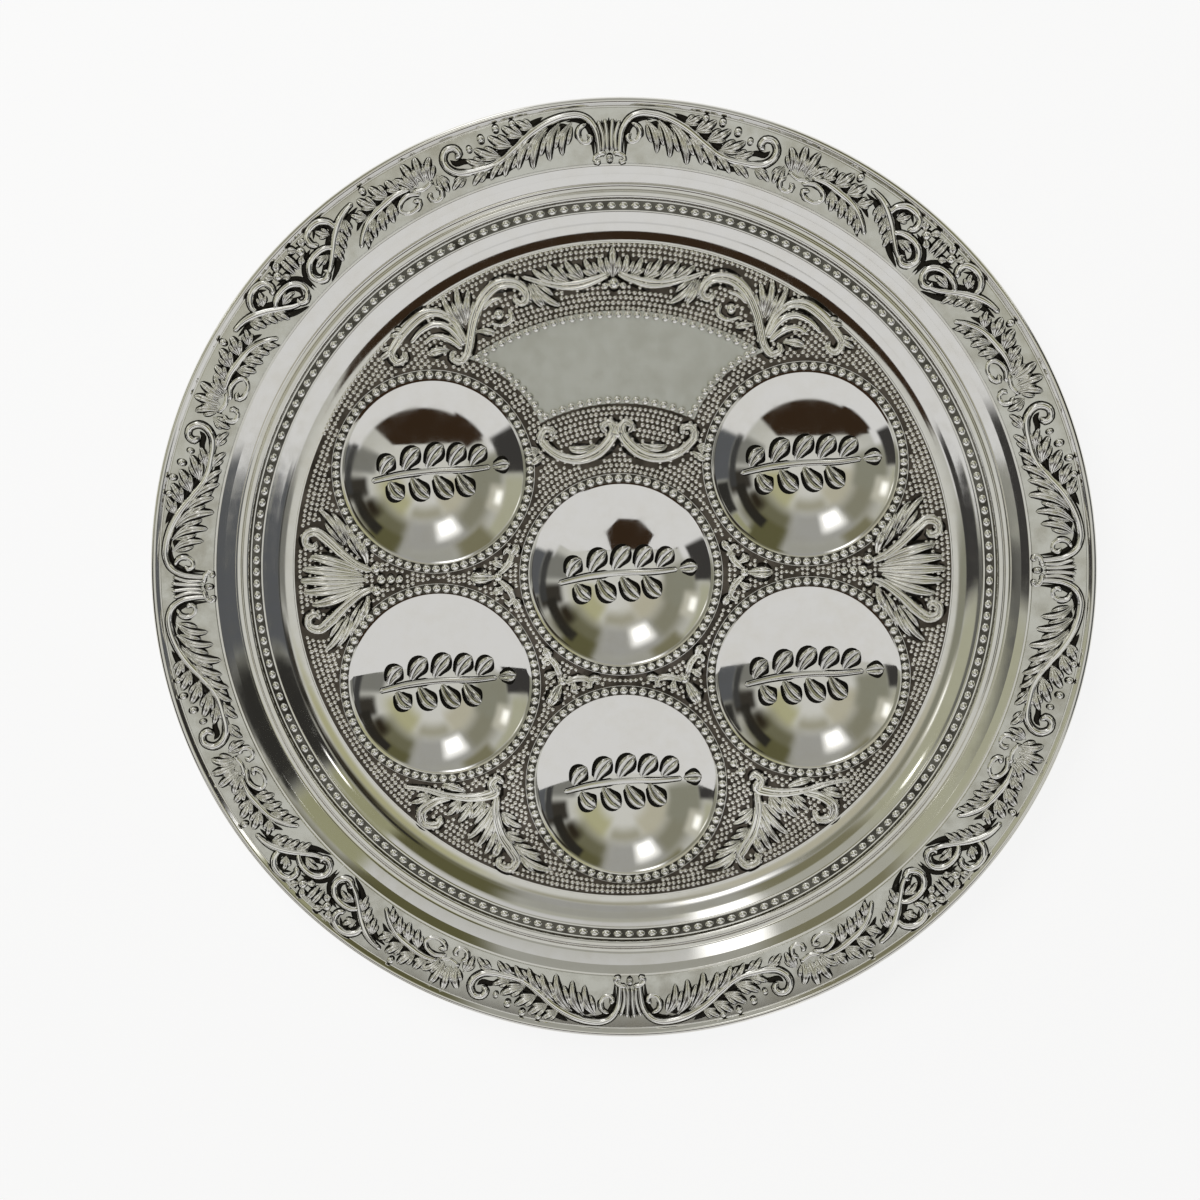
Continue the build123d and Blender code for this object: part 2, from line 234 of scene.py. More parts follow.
polished_silver = plated("polished_silver", (0.83, 0.82, 0.78), (0.74, 0.71, 0.62), 0.4, 0.05, 0.12, 0.05)
tray_upper = rounded_line([
    (0, SHEET, 0), (WELL_RADIUS, SHEET, WELL_BEND), (WELL_RADIUS, LEDGE_TOP, ROUND_BEND),
    (WALL_TOE_RADIUS, LEDGE_TOP, TIGHT_BEND), (WALL_FOOT_RADIUS, WALL_FOOT_HEIGHT, COVE_BEND),
    (STEP_INNER_RADIUS, STEP_TOP, ROUND_BEND), (STEP_OUTER_RADIUS, STEP_TOP, TIGHT_BEND),
    (STEP_OUTER_RADIUS + MOULDING_LEAN, STEP_TOP + MOULDING_RISE, ROUND_BEND),
    (MOULDING_OUTER_RADIUS - MOULDING_LEAN, STEP_TOP + MOULDING_RISE, ROUND_BEND),
    (MOULDING_OUTER_RADIUS, STEP_TOP + GROOVE_RISE, TIGHT_BEND),
    (GROOVE_OUTER_RADIUS, STEP_TOP + GROOVE_RISE, GROOVE_BEND),
    (SHOULDER_RADIUS, RIM_TOP - SHOULDER_DROP, RIM_BEND), (RIM_INNER_RADIUS, RIM_TOP, RIM_BEND),
    (EDGE_CREASE_RADIUS, RIM_TOP, TIGHT_BEND),
    (ROLL_CIRCLE_RADIUS + ROLL_RADIUS * cos(ROLL_START), ROLL_HEIGHT + ROLL_RADIUS * sin(ROLL_START), 0)])
for k in range(1, ROLL_STEPS + 1):
    way = ROLL_START - ROLL_SWEEP * k / ROLL_STEPS
    tray_upper.append((ROLL_CIRCLE_RADIUS + ROLL_RADIUS * cos(way), ROLL_HEIGHT + ROLL_RADIUS * sin(way)))
tray_under = under_side(tray_upper, SHEET)
tray_under[0] = (0.0, 0.0)
tray_mesh = spun_mesh("tray", tray_upper + tray_under[::-1], polished_silver, turns=256)
fitted("spun_tray", tray_mesh, "polished_silver_plate", "tray")

# Rim wire: a ring of drawn brass wire that the tray's edge is rolled over. Only its ends would ever
# show, so it keeps its plain shape and a dull yellow metal with drawing marks.
drawn_brass = plated("drawn_brass", (0.62, 0.46, 0.20), (0.30, 0.20, 0.09), 0.7, 0.30, 0.55, 0.4)


def refinished(node, material):
    """Gives a CAD node that keeps its shape its real finish."""
    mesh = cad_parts[node].data
    mesh.materials.clear()
    mesh.materials.append(material)


refinished("rim_wire", drawn_brass)

# Border strips: four die-struck strips that lie on the flat rim, each a quarter of the way round.
# Leaves and scrolls stand up in rounded ridges; dark oxide is left along the foot of each ridge
# and rubbed off everywhere else, so the ground between is a soft satin grey. Flat dark bands laid
# beside the main stems and between the leaves are painted shade.
BORDER_INNER_RADIUS = 164.1
BORDER_OUTER_RADIUS = 186.1
BORDER_MID_RADIUS = 175.0
BORDER_SHEET = 0.6
BORDER_RISE = 1.2
STRIP_GAP = 0.15
STRIP_EDGE_BEND = 0.4


def smooth_line(points, groove=0.0, spacing=0.9):
    """A smooth line through (x, y, half width, lift) points with rounded ends; a groove of 1 marks a leaf."""
    points = np.array(points, float)
    padded = np.vstack([2 * points[0] - points[1], points, 2 * points[-1] - points[-2]])
    line = []
    for a, b, c, d in zip(padded, padded[1:], padded[2:], padded[3:]):
        steps = max(2, int(np.linalg.norm((c - b)[:2]) / spacing))
        for t in np.arange(steps) / steps:
            line.append(0.5 * (2 * b + (c - a) * t + (2 * a - 5 * b + 4 * c - d) * t ** 2
                               + (3 * b - a - 3 * c + d) * t ** 3))
    line = np.array(line + [points[-1]])
    run = np.concatenate([[0], np.cumsum(np.linalg.norm(np.diff(line[:, :2], axis=0), axis=1))])
    for k, (along, width) in enumerate(zip(run, line[:, 2].copy())):
        short = min(along, run[-1] - along) / max(1.2 * width, 1e-6)
        line[k, 2] = width * (0.12 + 0.88 * sqrt(max(0, 1 - (1 - min(short, 1)) ** 2)))
    return np.column_stack([line, np.full(len(line), groove)])


def stem(points, first, widest, last, groove=0.0):
    """A scroll's stem: its half width grows from first to widest and falls to last."""
    shares = np.linspace(0, 1, len(points))
    widths = np.interp(shares, (0, 0.4, 1), (first, widest, last))
    rows = zip(points, widths, shares)
    return [smooth_line([(x, y, w, 0.25 * sin(9 * t)) for (x, y), w, t in rows], groove)]


def leaf(base, tip, bow, width):
    """A finger of leaf with a sunk midrib, bowed to the left, arched up and broadest past its middle."""
    base, tip = np.array(base, float), np.array(tip, float)
    along = tip - base
    length = np.linalg.norm(along)
    across = np.array((-along[1], along[0])) / length
    points = []
    for t in np.linspace(0, 1, 7):
        half = 0.5 * width * (0.42 + 0.58 * sin(pi * t ** 1.4))
        lift = min(0.09 * length, 1.0) * (sin(pi * t ** 1.3) - 0.35 * (1 - t))
        points.append((*(base + along * t + across * bow * 4 * t * (1 - t)), half, lift))
    return [smooth_line(points, 1.0)]


def acanthus(base, tip, bow, width):
    """A leaf of three lobes: a long middle finger and a shorter one turned out on each side of it."""
    base, tip = np.array(base, float), np.array(tip, float)
    along = tip - base
    across = np.array((-along[1], along[0])) / np.linalg.norm(along)
    lobes = leaf(base, tip, bow, 0.56 * width)
    for side in (1, -1):
        foot = base + 0.10 * along + (0.10 * side * width + 0.36 * bow) * across
        end = base + 0.68 * along + (0.54 * side * width + 0.87 * bow) * across
        lobes += leaf(foot, end, 0.08 * side * width, 0.40 * width)
    return lobes


def painted_shade_band(points, gap, half):
    """A flat band of painted shade beside a stem, the gap counted to the left of the stem's run; it stands
    lowest on the relief, so the relief material paints it dark.
    """
    shares = np.linspace(0, 1, len(points))
    rows = zip(points, shares)
    line = smooth_line([(x, y, half * max(0.05, sin(pi * t)) ** 0.6, 0) for (x, y), t in rows])
    along = np.gradient(line[:, :2], axis=0)
    along /= np.linalg.norm(along, axis=1, keepdims=True)
    line[:, 0] -= gap * along[:, 1]
    line[:, 1] += gap * along[:, 0]
    return [line]


def knob(x, y, radius):
    """A round drop standing on the ground."""
    ways = np.linspace(-1, 1, 9)
    return [np.array([(x + radius * t, y, radius * max(0.05, sqrt(1 - t * t)), 0, 0) for t in ways])]


def leaves(kind, *rows):
    """Leaves of one kind, each from a row of base x, base y, tip x, tip y, bow and width."""
    return [line for *ends, bow, width in rows for line in kind(ends[:2], ends[2:], bow, width)]


RIDGE_SECTION = [(-1.4, -0.6), (-1.4, 0.03), (-1.0, 0.08), (-0.9, 0.42), (-0.55, 0.78), (0, 0.92),
                 (0.55, 0.78), (0.9, 0.42), (1.0, 0.08), (1.4, 0.03), (1.4, -0.6)]
LEAF_SECTION = [(-1.6, -0.6), (-1.6, 0.02), (-1.0, 0.08), (-0.92, 0.5), (-0.55, 0.86), (-0.2, 0.6),
                (0, 0.12), (0.2, 0.6), (0.55, 0.86), (0.92, 0.5), (1.0, 0.08), (1.6, 0.02), (1.6, -0.6)]
# Section of the painted shade bands: nearly flat, so the relief material paints them dark.
PAINTED_SHADE_SECTION = [(-1.0, -0.2), (-1.0, 0.01), (0, 0.03), (1.0, 0.01), (1.0, -0.2)]


def lines_object(name, lines, closed=False):
    """A curve object of straight-jointed lines in millimetres, their half widths as its radius."""
    curve = bpy.data.curves.new(name, "CURVE")
    curve.dimensions = "3D"
    for line in lines:
        spline = curve.splines.new("POLY")
        spline.points.add(len(line) - 1)
        for point, (x, y, half, lift, *_) in zip(spline.points, line):
            point.co = (x / 1000, y / 1000, lift / 1000, 1)
            point.radius = half / 1000
        spline.use_cyclic_u = closed
    return set_out(name, curve)


def open_tree(name, inputs):
    """A new Geometry Nodes tree with named inputs, and its input node."""
    tree = bpy.data.node_groups.new(name, "GeometryNodeTree")
    for label, kind in [("Geometry", "Geometry")] + inputs:
        tree.interface.new_socket(label, in_out="INPUT", socket_type="NodeSocket" + kind)
    tree.interface.new_socket("Geometry", in_out="OUTPUT", socket_type="NodeSocketGeometry")
    return tree, put(tree, "NodeGroupInput").outputs


def point_parts(tree):
    """The x, y and z of each point."""
    return put(tree, "ShaderNodeSeparateXYZ", {0: put(tree, "GeometryNodeInputPosition")}).outputs


def relief_kept(tree, geometry, value):
    """Keeps a value on every point as the relief attribute."""
    return put(tree, "GeometryNodeStoreNamedAttribute",
               {"Geometry": geometry, "Name": "relief", "Value": value}, data_type="FLOAT", domain="POINT")


def close_tree(tree, geometry, material):
    """Ends a tree: real geometry, smooth faces, its material."""
    real = put(tree, "GeometryNodeRealizeInstances", {"Geometry": geometry})
    soft = put(tree, "GeometryNodeSetShadeSmooth", {"Geometry": real})
    dressed = put(tree, "GeometryNodeSetMaterial", {"Geometry": soft, "Material": material})
    put(tree, "NodeGroupOutput", {"Geometry": dressed})


def worked(source, tree, values):
    """Runs a tree on an object with its input values and returns the plain mesh; the object goes."""
    modifier = source.modifiers.new("work", "NODES")
    modifier.node_group = tree
    for item in tree.interface.items_tree:
        if item.in_out == "INPUT" and item.name in values:
            modifier[item.identifier] = values[item.name]
    bpy.context.view_layer.update()
    graph = bpy.context.evaluated_depsgraph_get()
    mesh = bpy.data.meshes.new_from_object(source.evaluated_get(graph), depsgraph=graph)
    source.modifiers.remove(modifier)
    bpy.data.objects.remove(source)
    return mesh


def ridge_tree():
    """Sweeps the ridge section along drawn lines, mirrors it, and lays it round the rim, flat on the
    panel, or in the bowl of a dish. The height across the section is kept as the relief attribute."""
    tree, given = open_tree("chased_ridges", [
        ("Section", "Object"), ("Round Rim", "Bool"), ("Mirrored", "Bool"),
        ("Inner Radius", "Float"), ("Mid Radius", "Float"), ("Bowl Radius", "Float"),
        ("Rise", "Float"), ("Height", "Float"), ("Material", "Material")])
    section = put(tree, "GeometryNodeObjectInfo", {"Object": given["Section"]})
    level = reckon(tree, "MULTIPLY", point_parts(tree)["Y"], -1000.0)
    scaled = relief_kept(tree, section.outputs["Geometry"], level)
    upright = put(tree, "GeometryNodeSetCurveNormal", {"Curve": given["Geometry"]}, mode="Z_UP")
    wide = reckon(tree, "MULTIPLY", put(tree, "GeometryNodeInputRadius"), 1000.0)
    swept = put(tree, "GeometryNodeCurveToMesh",
                {"Curve": upright, "Profile Curve": scaled, "Scale": wide, "Fill Caps": True})
    lower = put(tree, "ShaderNodeCombineXYZ", {"X": 1.0, "Y": 1.0, "Z": given["Rise"]})
    swept = put(tree, "GeometryNodeTransform", {"Geometry": swept, "Scale": lower})
    mirrored = put(tree, "GeometryNodeTransform", {"Geometry": swept, "Scale": (-1, 1, 1)})
    turned = put(tree, "GeometryNodeFlipFaces", {"Mesh": mirrored})
    other = put(tree, "GeometryNodeSwitch", {"Switch": given["Mirrored"], "True": turned},
                input_type="GEOMETRY")
    pair = put(tree, "GeometryNodeJoinGeometry", {"Geometry": swept})
    tree.links.new(other.outputs[0], pair.inputs["Geometry"])
    flat = put(tree, "GeometryNodeInputPosition")
    part = put(tree, "ShaderNodeSeparateXYZ", {0: flat})
    way = reckon(tree, "DIVIDE", part.outputs["X"], given["Mid Radius"])
    out = reckon(tree, "ADD", part.outputs["Y"], given["Inner Radius"])
    bent_x = reckon(tree, "MULTIPLY", out, reckon(tree, "SINE", way))
    bent_y = reckon(tree, "MULTIPLY", out, reckon(tree, "COSINE", way))
    bent = put(tree, "ShaderNodeCombineXYZ", {"X": bent_x, "Y": bent_y, "Z": part.outputs["Z"]})
    laid = put(tree, "GeometryNodeSwitch", {"Switch": given["Round Rim"], "False": flat, "True": bent},
               input_type="VECTOR")
    plan = put(tree, "ShaderNodeVectorMath", {0: flat, 1: (1, 1, 0)}, operation="MULTIPLY")
    square = put(tree, "ShaderNodeVectorMath", {0: plan, 1: plan}, operation="DOT_PRODUCT")
    sphere = reckon(tree, "MULTIPLY", given["Bowl Radius"], given["Bowl Radius"])
    drop = reckon(tree, "SUBTRACT", sphere, square.outputs["Value"])
    root = reckon(tree, "SQRT", drop)
    total = reckon(tree, "ADD", root, given["Bowl Radius"])
    rise = reckon(tree, "DIVIDE", square.outputs["Value"], total)
    lift = reckon(tree, "ADD", rise, given["Height"])
    up = put(tree, "ShaderNodeCombineXYZ", {"Z": lift})
    stood = put(tree, "GeometryNodeSetPosition", {"Geometry": pair, "Position": laid, "Offset": up})
    close_tree(tree, stood, given["Material"])
    return tree


RIDGES = ridge_tree()


def swept_lines(name, lines, material, height, shape, rise=1.0, **values):
    """One section swept along lines as a mesh, standing on a surface at a height in millimetres."""
    section = lines_object(name + "_section", [[(x, -y, 1000, 0) for x, y in shape]], closed=True)
    settings = {"Section": section, "Round Rim": False, "Mirrored": False,
                "Inner Radius": BORDER_INNER_RADIUS / 1000, "Mid Radius": BORDER_MID_RADIUS / 1000,
                "Bowl Radius": 1000.0, "Rise": rise, "Height": height / 1000, "Material": material}
    mesh = worked(lines_object(name + "_lines", lines), RIDGES, {**settings, **values})
    bpy.data.objects.remove(section)
    return mesh


def chased(name, lines, material, height, rise=1.0, **values):
    """Chased work: rounded ridges along the plain lines, sunk midribs along the leaves."""
    plain = [line for line in lines if line[0, 4] < 0.5]
    ribbed = [line for line in lines if line[0, 4] > 0.5]
    return joined(name,
                  swept_lines(name + "_ridges", plain, material, height, RIDGE_SECTION, rise, **values),
                  swept_lines(name + "_leaves", ribbed, material, height, LEAF_SECTION, rise, **values))


def antiqued(name, dark, silver, low, high, smooth, dull):
    """Silver with dark oxide left where the relief attribute is low and rubbed off where it is high."""
    material = plated(name, silver, tuple(0.88 * c for c in silver), 0.5, smooth, dull, 0.15)
    tree = material.node_tree
    finish = tree.nodes["Principled BSDF"]
    colour = finish.inputs["Base Color"].links[0].from_socket
    gloss = finish.inputs["Roughness"].links[0].from_socket
    relief = put(tree, "ShaderNodeAttribute", attribute_name="relief").outputs["Fac"]
    place = put(tree, "ShaderNodeTexCoord").outputs["Object"]
    patch = put(tree, "ShaderNodeTexNoise", {"Vector": place, "Scale": 420.0, "Detail": 3.0})
    uneven = reckon(tree, "MULTIPLY_ADD", patch.outputs["Fac"], 0.5, relief)
    rubbed = put(tree, "ShaderNodeMapRange",
                 {"Value": uneven, "From Min": low + 0.25, "From Max": high + 0.25},
                 interpolation_type="SMOOTHSTEP")
    mixed = put(tree, "ShaderNodeMix", {"Factor": rubbed, "A": (*dark, 1), "B": colour}, data_type="RGBA")
    rough = put(tree, "ShaderNodeMix", {"Factor": rubbed, "A": 0.55, "B": gloss})
    tree.links.new(mixed.outputs["Result"], finish.inputs["Base Color"])
    tree.links.new(rough.outputs["Result"], finish.inputs["Roughness"])
    return material


def joined(name, *meshes):
    """One mesh of several, each keeping its own materials."""
    form = bmesh.new()
    made = bpy.data.meshes.new(name)
    for mesh in meshes:
        first = len(form.faces)
        form.from_mesh(mesh)
        form.faces.ensure_lookup_table()
        for face in form.faces[first:]:
            face.material_index += len(made.materials)
        for material in mesh.materials:
            made.materials.append(material)
    form.to_mesh(made)
    form.free()
    return made


def placed(mesh, name, x=0.0, y=0.0, turn=0.0):
    """A copy of a mesh moved in the plan by millimetres, after a turn in degrees."""
    copy = mesh.copy()
    copy.name = name
    copy.transform(Matrix.Translation((x / 1000, y / 1000, 0)) @ Matrix.Rotation(radians(turn), 4, "Z"))
    return copy


def strip_ground(name):
    """The strip's plain ground: a quarter ring with its edges eased."""
    top = RIM_TOP + BORDER_SHEET
    half = radians(45) - STRIP_GAP / BORDER_MID_RADIUS
    section = rounded_line([(BORDER_INNER_RADIUS, RIM_TOP, 0), (BORDER_INNER_RADIUS, top, STRIP_EDGE_BEND),
                            (BORDER_OUTER_RADIUS, top, STRIP_EDGE_BEND), (BORDER_OUTER_RADIUS, RIM_TOP, 0)])
    form = bmesh.new()
    rings = []
    for way in np.linspace(-half, half, 81):
        ring = [(r * sin(way) / 1000, r * cos(way) / 1000, z / 1000) for r, z in section]
        rings.append([form.verts.new(point) for point in ring])
    for a, b in zip(rings, rings[1:]):
        for k in range(len(section)):
            form.faces.new((a[k], a[k - 1], b[k - 1], b[k]))
    form.faces.new(rings[0])
    form.faces.new(rings[-1])
    return finished_mesh(form, name, border_ground, 40)


arch = [(4.2, 2.5), (4.4, 8), (5.2, 13.2), (7.8, 17.6), (12, 19.6), (16.5, 19.6), (20, 19), (23.5, 18),
        (27.5, 16.4), (31.5, 14.4), (37.5, 10.8), (43.5, 7.8), (48.5, 6.8), (54, 7), (59, 7.6), (62.5, 9)]
arch_end = [(65, 12), (65.4, 15.6), (63, 18.6), (59.8, 18.2), (58.8, 15.4), (61, 14)]
frond = [(81.6, 11.2), (88, 11.9), (94, 11.2), (101.5, 9.6), (107.5, 6.2), (111.8, 2.4)]
branch = [(103.6, 18.8), (109, 17.6), (113.4, 15.4), (118, 12), (121.5, 8.8), (126, 5.2), (131.4, 2.8)]
border_half = (
    stem([(0.9, 5), (0.9, 11), (1.5, 17.6)], 0.6, 0.8, 0.7)
    + stem([(2.6, 4.6), (2.5, 11), (4.2, 17)], 0.6, 0.85, 0.7)
    + stem([(1.2, 4), (3.2, 4.2), (5.4, 3.4), (6.4, 1.6), (5, 0.6), (4, 1.8)], 0.8, 1.0, 0.8)
    + knob(0, 2.2, 1.6)
    + stem(arch + arch_end, 0.9, 1.6, 1.1)
    + stem([(8.4, 16), (11.2, 14.6), (12.2, 11.8), (10.8, 9), (8.2, 8.6), (7.2, 10.6), (8.8, 11.8)],
           0.8, 1.1, 0.8)
    + leaves(acanthus, (13.4, 17.6, 19.2, 4.4, 1.8, 3.8), (18, 18, 24.6, 3.2, 1.9, 4.3),
             (23, 16.8, 32, 1.4, 2.0, 4.9), (29, 13.8, 38.2, 2.4, 1.6, 4.5),
             (35, 10.8, 44.4, 1.2, 1.4, 4.2), (41.4, 7.8, 50.4, 1.6, 1.0, 3.6),
             (49.6, 6, 58, 1.8, 0.8, 3.2), (58.6, 6.4, 66.6, 3.2, 0.7, 3.0),
             (28.6, 17.2, 34.8, 21.2, -0.6, 3.4), (33, 14.8, 40.4, 20.6, -0.8, 4.0),
             (38, 12, 46.4, 18.4, -0.9, 4.2), (43.4, 9.4, 53, 15.4, -1.0, 4.2),
             (50, 8.6, 57.2, 12.4, -0.8, 3.2))
    + knob(36.4, 20.4, 1.4) + knob(42.8, 20.2, 1.5) + knob(49.2, 18, 1.6) + knob(54.6, 15.8, 1.3)
    + leaves(acanthus, (70.4, 11.6, 68.4, 3.2, -0.7, 3.4), (73.4, 9.6, 69.6, 19, -1.0, 4.0),
             (75.8, 10, 75, 21.6, -0.3, 4.4), (78.8, 10, 80.8, 21.4, 0.3, 4.4),
             (81, 9.8, 86.2, 17.4, 0.9, 3.6))
    + stem([(72.4, 9.8), (77, 8.6), (81.6, 9.8)], 0.8, 1.1, 0.8)
    + stem([(72.6, 7.8), (70.8, 5.4), (72, 2.6), (75.2, 2.4), (76.4, 4.8), (74.6, 6)], 0.8, 1.0, 0.8)
    + stem([(79, 7.4), (84, 9.4), (88.4, 8), (89.6, 5.4), (87, 3), (82.4, 3.2), (80.8, 5.2), (83.6, 6.2)],
           0.8, 1.0, 0.8)
    + stem(frond, 0.8, 1.5, 0.7)
    + leaves(acanthus, (90.6, 10.4, 94.4, 2.8, 0.8, 3.6), (95.4, 9.8, 99.2, 2.2, 0.8, 3.6),
             (100, 8.8, 104, 2, 0.7, 3.4), (105, 6.6, 108.6, 0.8, 0.5, 3.0),
             (85.6, 12.4, 88.8, 19, -0.6, 4.0), (90.8, 12.4, 95.4, 20.4, -0.7, 4.4),
             (96.6, 11.8, 101.6, 19, -0.7, 4.2), (102, 10.6, 107, 15.6, -0.6, 3.4)) + knob(98.2, 20.2, 1.5)
    + stem(branch, 0.8, 1.6, 0.7)
    + leaves(acanthus, (109.8, 16, 112.4, 8.6, 0.6, 3.4), (114.4, 13.6, 116.6, 6, 0.6, 3.4),
             (118.6, 10.4, 120.8, 3, 0.5, 3.2))
    + stem([(114.8, 14.6), (115.4, 18.2), (118.2, 21), (122.3, 21.5), (125.8, 19.6), (126, 16),
            (123.8, 14.4)], 0.9, 1.5, 1.0)
    + acanthus((118, 14.6), (121.6, 19.4), -0.5, 3.2)
    + stem([(120.2, 9.2), (122.6, 11.6), (127, 12.6), (131.8, 11.6), (134.6, 8.4), (134.2, 4.8),
            (131.4, 2.8), (128.8, 4), (129.6, 6)], 0.9, 1.5, 0.9)
    + acanthus((123.4, 8.6), (131, 8.4), 0.9, 3.0)
    + knob(131, 17.4, 1.9)
    + leaves(leaf, (131.8, 18.6, 134.8, 21.4, 0.3, 2.8), (131.4, 15.8, 134.2, 13.4, 0.3, 2.8),
             (129.6, 18.4, 127.8, 21.4, 0.3, 2.8), (136.1, 12.5, 136.2, 20.8, 0, 2.2)))
# Painted shade: flat dark bands under the arch, frond and branch stems and between leaves, where shadow
# falls.
border_recess = (
    painted_shade_band(arch[:6], -2.2, 1.0) + painted_shade_band(arch[:3], 1.7, 0.8) + painted_shade_band(arch[5:14], -3.2, 2.6)
    + painted_shade_band(arch[7:13], 2.8, 1.7)
    + painted_shade_band(frond, -2.9, 2.1) + painted_shade_band(frond[:5], 3.0, 1.9) + painted_shade_band(branch, -2.6, 1.8)
    + painted_shade_band(branch[2:], 2.2, 1.4)
    + painted_shade_band([(54, 9.6), (58, 12), (61.4, 12.4), (63, 14.6)], 0, 1.3)
    + painted_shade_band([(116.5, 14), (117.2, 18), (121, 19.8), (124.4, 17.4)], 0, 1.0)
    + painted_shade_band([(122.4, 8.6), (126, 10.7), (130.8, 10.4), (132.6, 7), (131, 4.4)], 0, 1.0)
    + painted_shade_band([(127.5, 15.5), (131, 14.4), (134, 12.5), (136.8, 9), (136.8, 3)], 0, 1.1)
    + painted_shade_band([(0.1, 4.6), (0.1, 11), (0.1, 18)], 0, 0.8)
    + painted_shade_band([(1.8, 5), (1.7, 11), (2.9, 17.4)], 0, 0.6)
    + painted_shade_band([(72.5, 8), (73.4, 12), (74.2, 16)], 0, 0.9)
    + painted_shade_band([(81, 10.4), (80.4, 13), (80.2, 16)], 0, 0.9))
border_ground = plated("border_ground", (0.73, 0.73, 0.68), (0.48, 0.46, 0.38), 0.6, 0.14, 0.26, 0.15)
border_relief = antiqued("border_relief", (0.034, 0.031, 0.026), (0.98, 0.97, 0.93), 0.08, 0.44, 0.06, 0.14)
on_rim = {"Round Rim": True, "Mirrored": True}
strip_work = chased("border", border_half, border_relief, RIM_TOP + BORDER_SHEET, BORDER_RISE, **on_rim)
# The painted shade bands, swept flat on the strip's ground in the relief material.
strip_painted_shade = swept_lines("border_recess", border_recess, border_relief, RIM_TOP + BORDER_SHEET,
                           PAINTED_SHADE_SECTION, **on_rim)
strip = joined("border_strip", strip_ground("strip_ground"), strip_painted_shade, strip_work)
for side, turn in (("top", 0), ("right", -90), ("bottom", 180), ("left", 90)):
    fitted(f"border_strip_{side}", placed(strip, f"border_strip_{side}", turn=turn),
           "antiqued_silver_plate", f"rim_border_{side}")

# Step beads: a wire rolled into a row of round beads, laid on the step of the tray. The beads are
# rubbed bright and the clefts between them keep the dark oxide.
STEP_BEAD_RADIUS = (STEP_INNER_RADIUS + STEP_OUTER_RADIUS) / 2
STEP_BEAD_WIDTH = 3.3
STEP_BEAD_LENGTH = 4.3
STEP_BEAD_COUNT = 196
STEP_BED_WIDTH = 3.8
STEP_BEAD_SINK = 0.2
BED_THICKNESS = 0.5
BED_EDGE = 0.35
BED_BEVEL = 0.2


def bead_tree():
    """Sets beads evenly along a line; how high a point stands on its bead is the relief attribute."""
    tree, given = open_tree("bead_row",
                            [("Bead Length", "Float"), ("Bead Width", "Float"), ("Bead Height", "Float"),
                             ("Bead Count", "Int"), ("Height", "Float"), ("Material", "Material")])
    even = put(tree, "GeometryNodeResampleCurve",
               {"Curve": given["Geometry"], "Count": given["Bead Count"]}, mode="COUNT")
    ball = put(tree, "GeometryNodeMeshUVSphere", {"Segments": 10, "Rings": 6, "Radius": 0.5})
    share = reckon(tree, "MULTIPLY", point_parts(tree)["Z"], 2.0)
    marked = relief_kept(tree, ball.outputs["Mesh"], share)
    size = put(tree, "ShaderNodeCombineXYZ",
               {"X": given["Bead Length"], "Y": given["Bead Width"], "Z": given["Bead Height"]})
    along = put(tree, "FunctionNodeAlignRotationToVector",
                {"Vector": put(tree, "GeometryNodeInputTangent")}, axis="X")
    row = put(tree, "GeometryNodeInstanceOnPoints",
              {"Points": even, "Instance": marked, "Rotation": along, "Scale": size})
    up = put(tree, "ShaderNodeCombineXYZ", {"Z": given["Height"]})
    raised = put(tree, "GeometryNodeTransform", {"Geometry": row, "Translation": up})
    close_tree(tree, raised, given["Material"])
    return tree


BEADS = bead_tree()


def bead_row(name, path, length, width, count, height, material):
    """A row of beads along a closed path in millimetres."""
    source = lines_object(name + "_path", [[(x, y, 1, 0) for x, y in path]], closed=True)
    return worked(source, BEADS,
                  {"Bead Length": length / 1000, "Bead Width": width / 1000, "Bead Height": width / 1000,
                   "Bead Count": count, "Height": height / 1000, "Material": material})


def ring_path(radius, points=360):
    """Points on a circle about the middle."""
    return [(radius * cos(2 * pi * k / points), radius * sin(2 * pi * k / points)) for k in range(points)]


def bead_bed(name, radius, width, height, material):
    """The flat strip of wire that a round row of beads stands on."""
    inner, outer = radius - width / 2, radius + width / 2
    edge_top, top = height + BED_EDGE, height + BED_THICKNESS
    return spun_mesh(name,
                     [(inner, height), (inner, edge_top), (inner + BED_BEVEL, top),
                      (outer - BED_BEVEL, top), (outer, edge_top), (outer, height)], material)


bead_silver = antiqued("bead_silver", (0.040, 0.036, 0.030), (0.98, 0.97, 0.93), -0.50, -0.02, 0.06, 0.14)
cleft_oxide = plated("cleft_oxide", (0.10, 0.095, 0.08), (0.045, 0.042, 0.036), 0.8, 0.40, 0.6, 0.3)
step_bed_silver = plated("step_bed_silver", (0.15, 0.145, 0.125), (0.035, 0.032, 0.026), 0.95, 0.14,
                         0.34, 0.2)
step_beads = joined("step_beads",
                    bead_bed("step_bed", STEP_BEAD_RADIUS, STEP_BED_WIDTH, STEP_TOP, step_bed_silver),
                    bead_row("step_row", ring_path(STEP_BEAD_RADIUS), STEP_BEAD_LENGTH, STEP_BEAD_WIDTH,
                             STEP_BEAD_COUNT, STEP_TOP - STEP_BEAD_SINK, bead_silver))
fitted("step_beads", step_beads, "antiqued_silver_plate", "step_bead_wire")

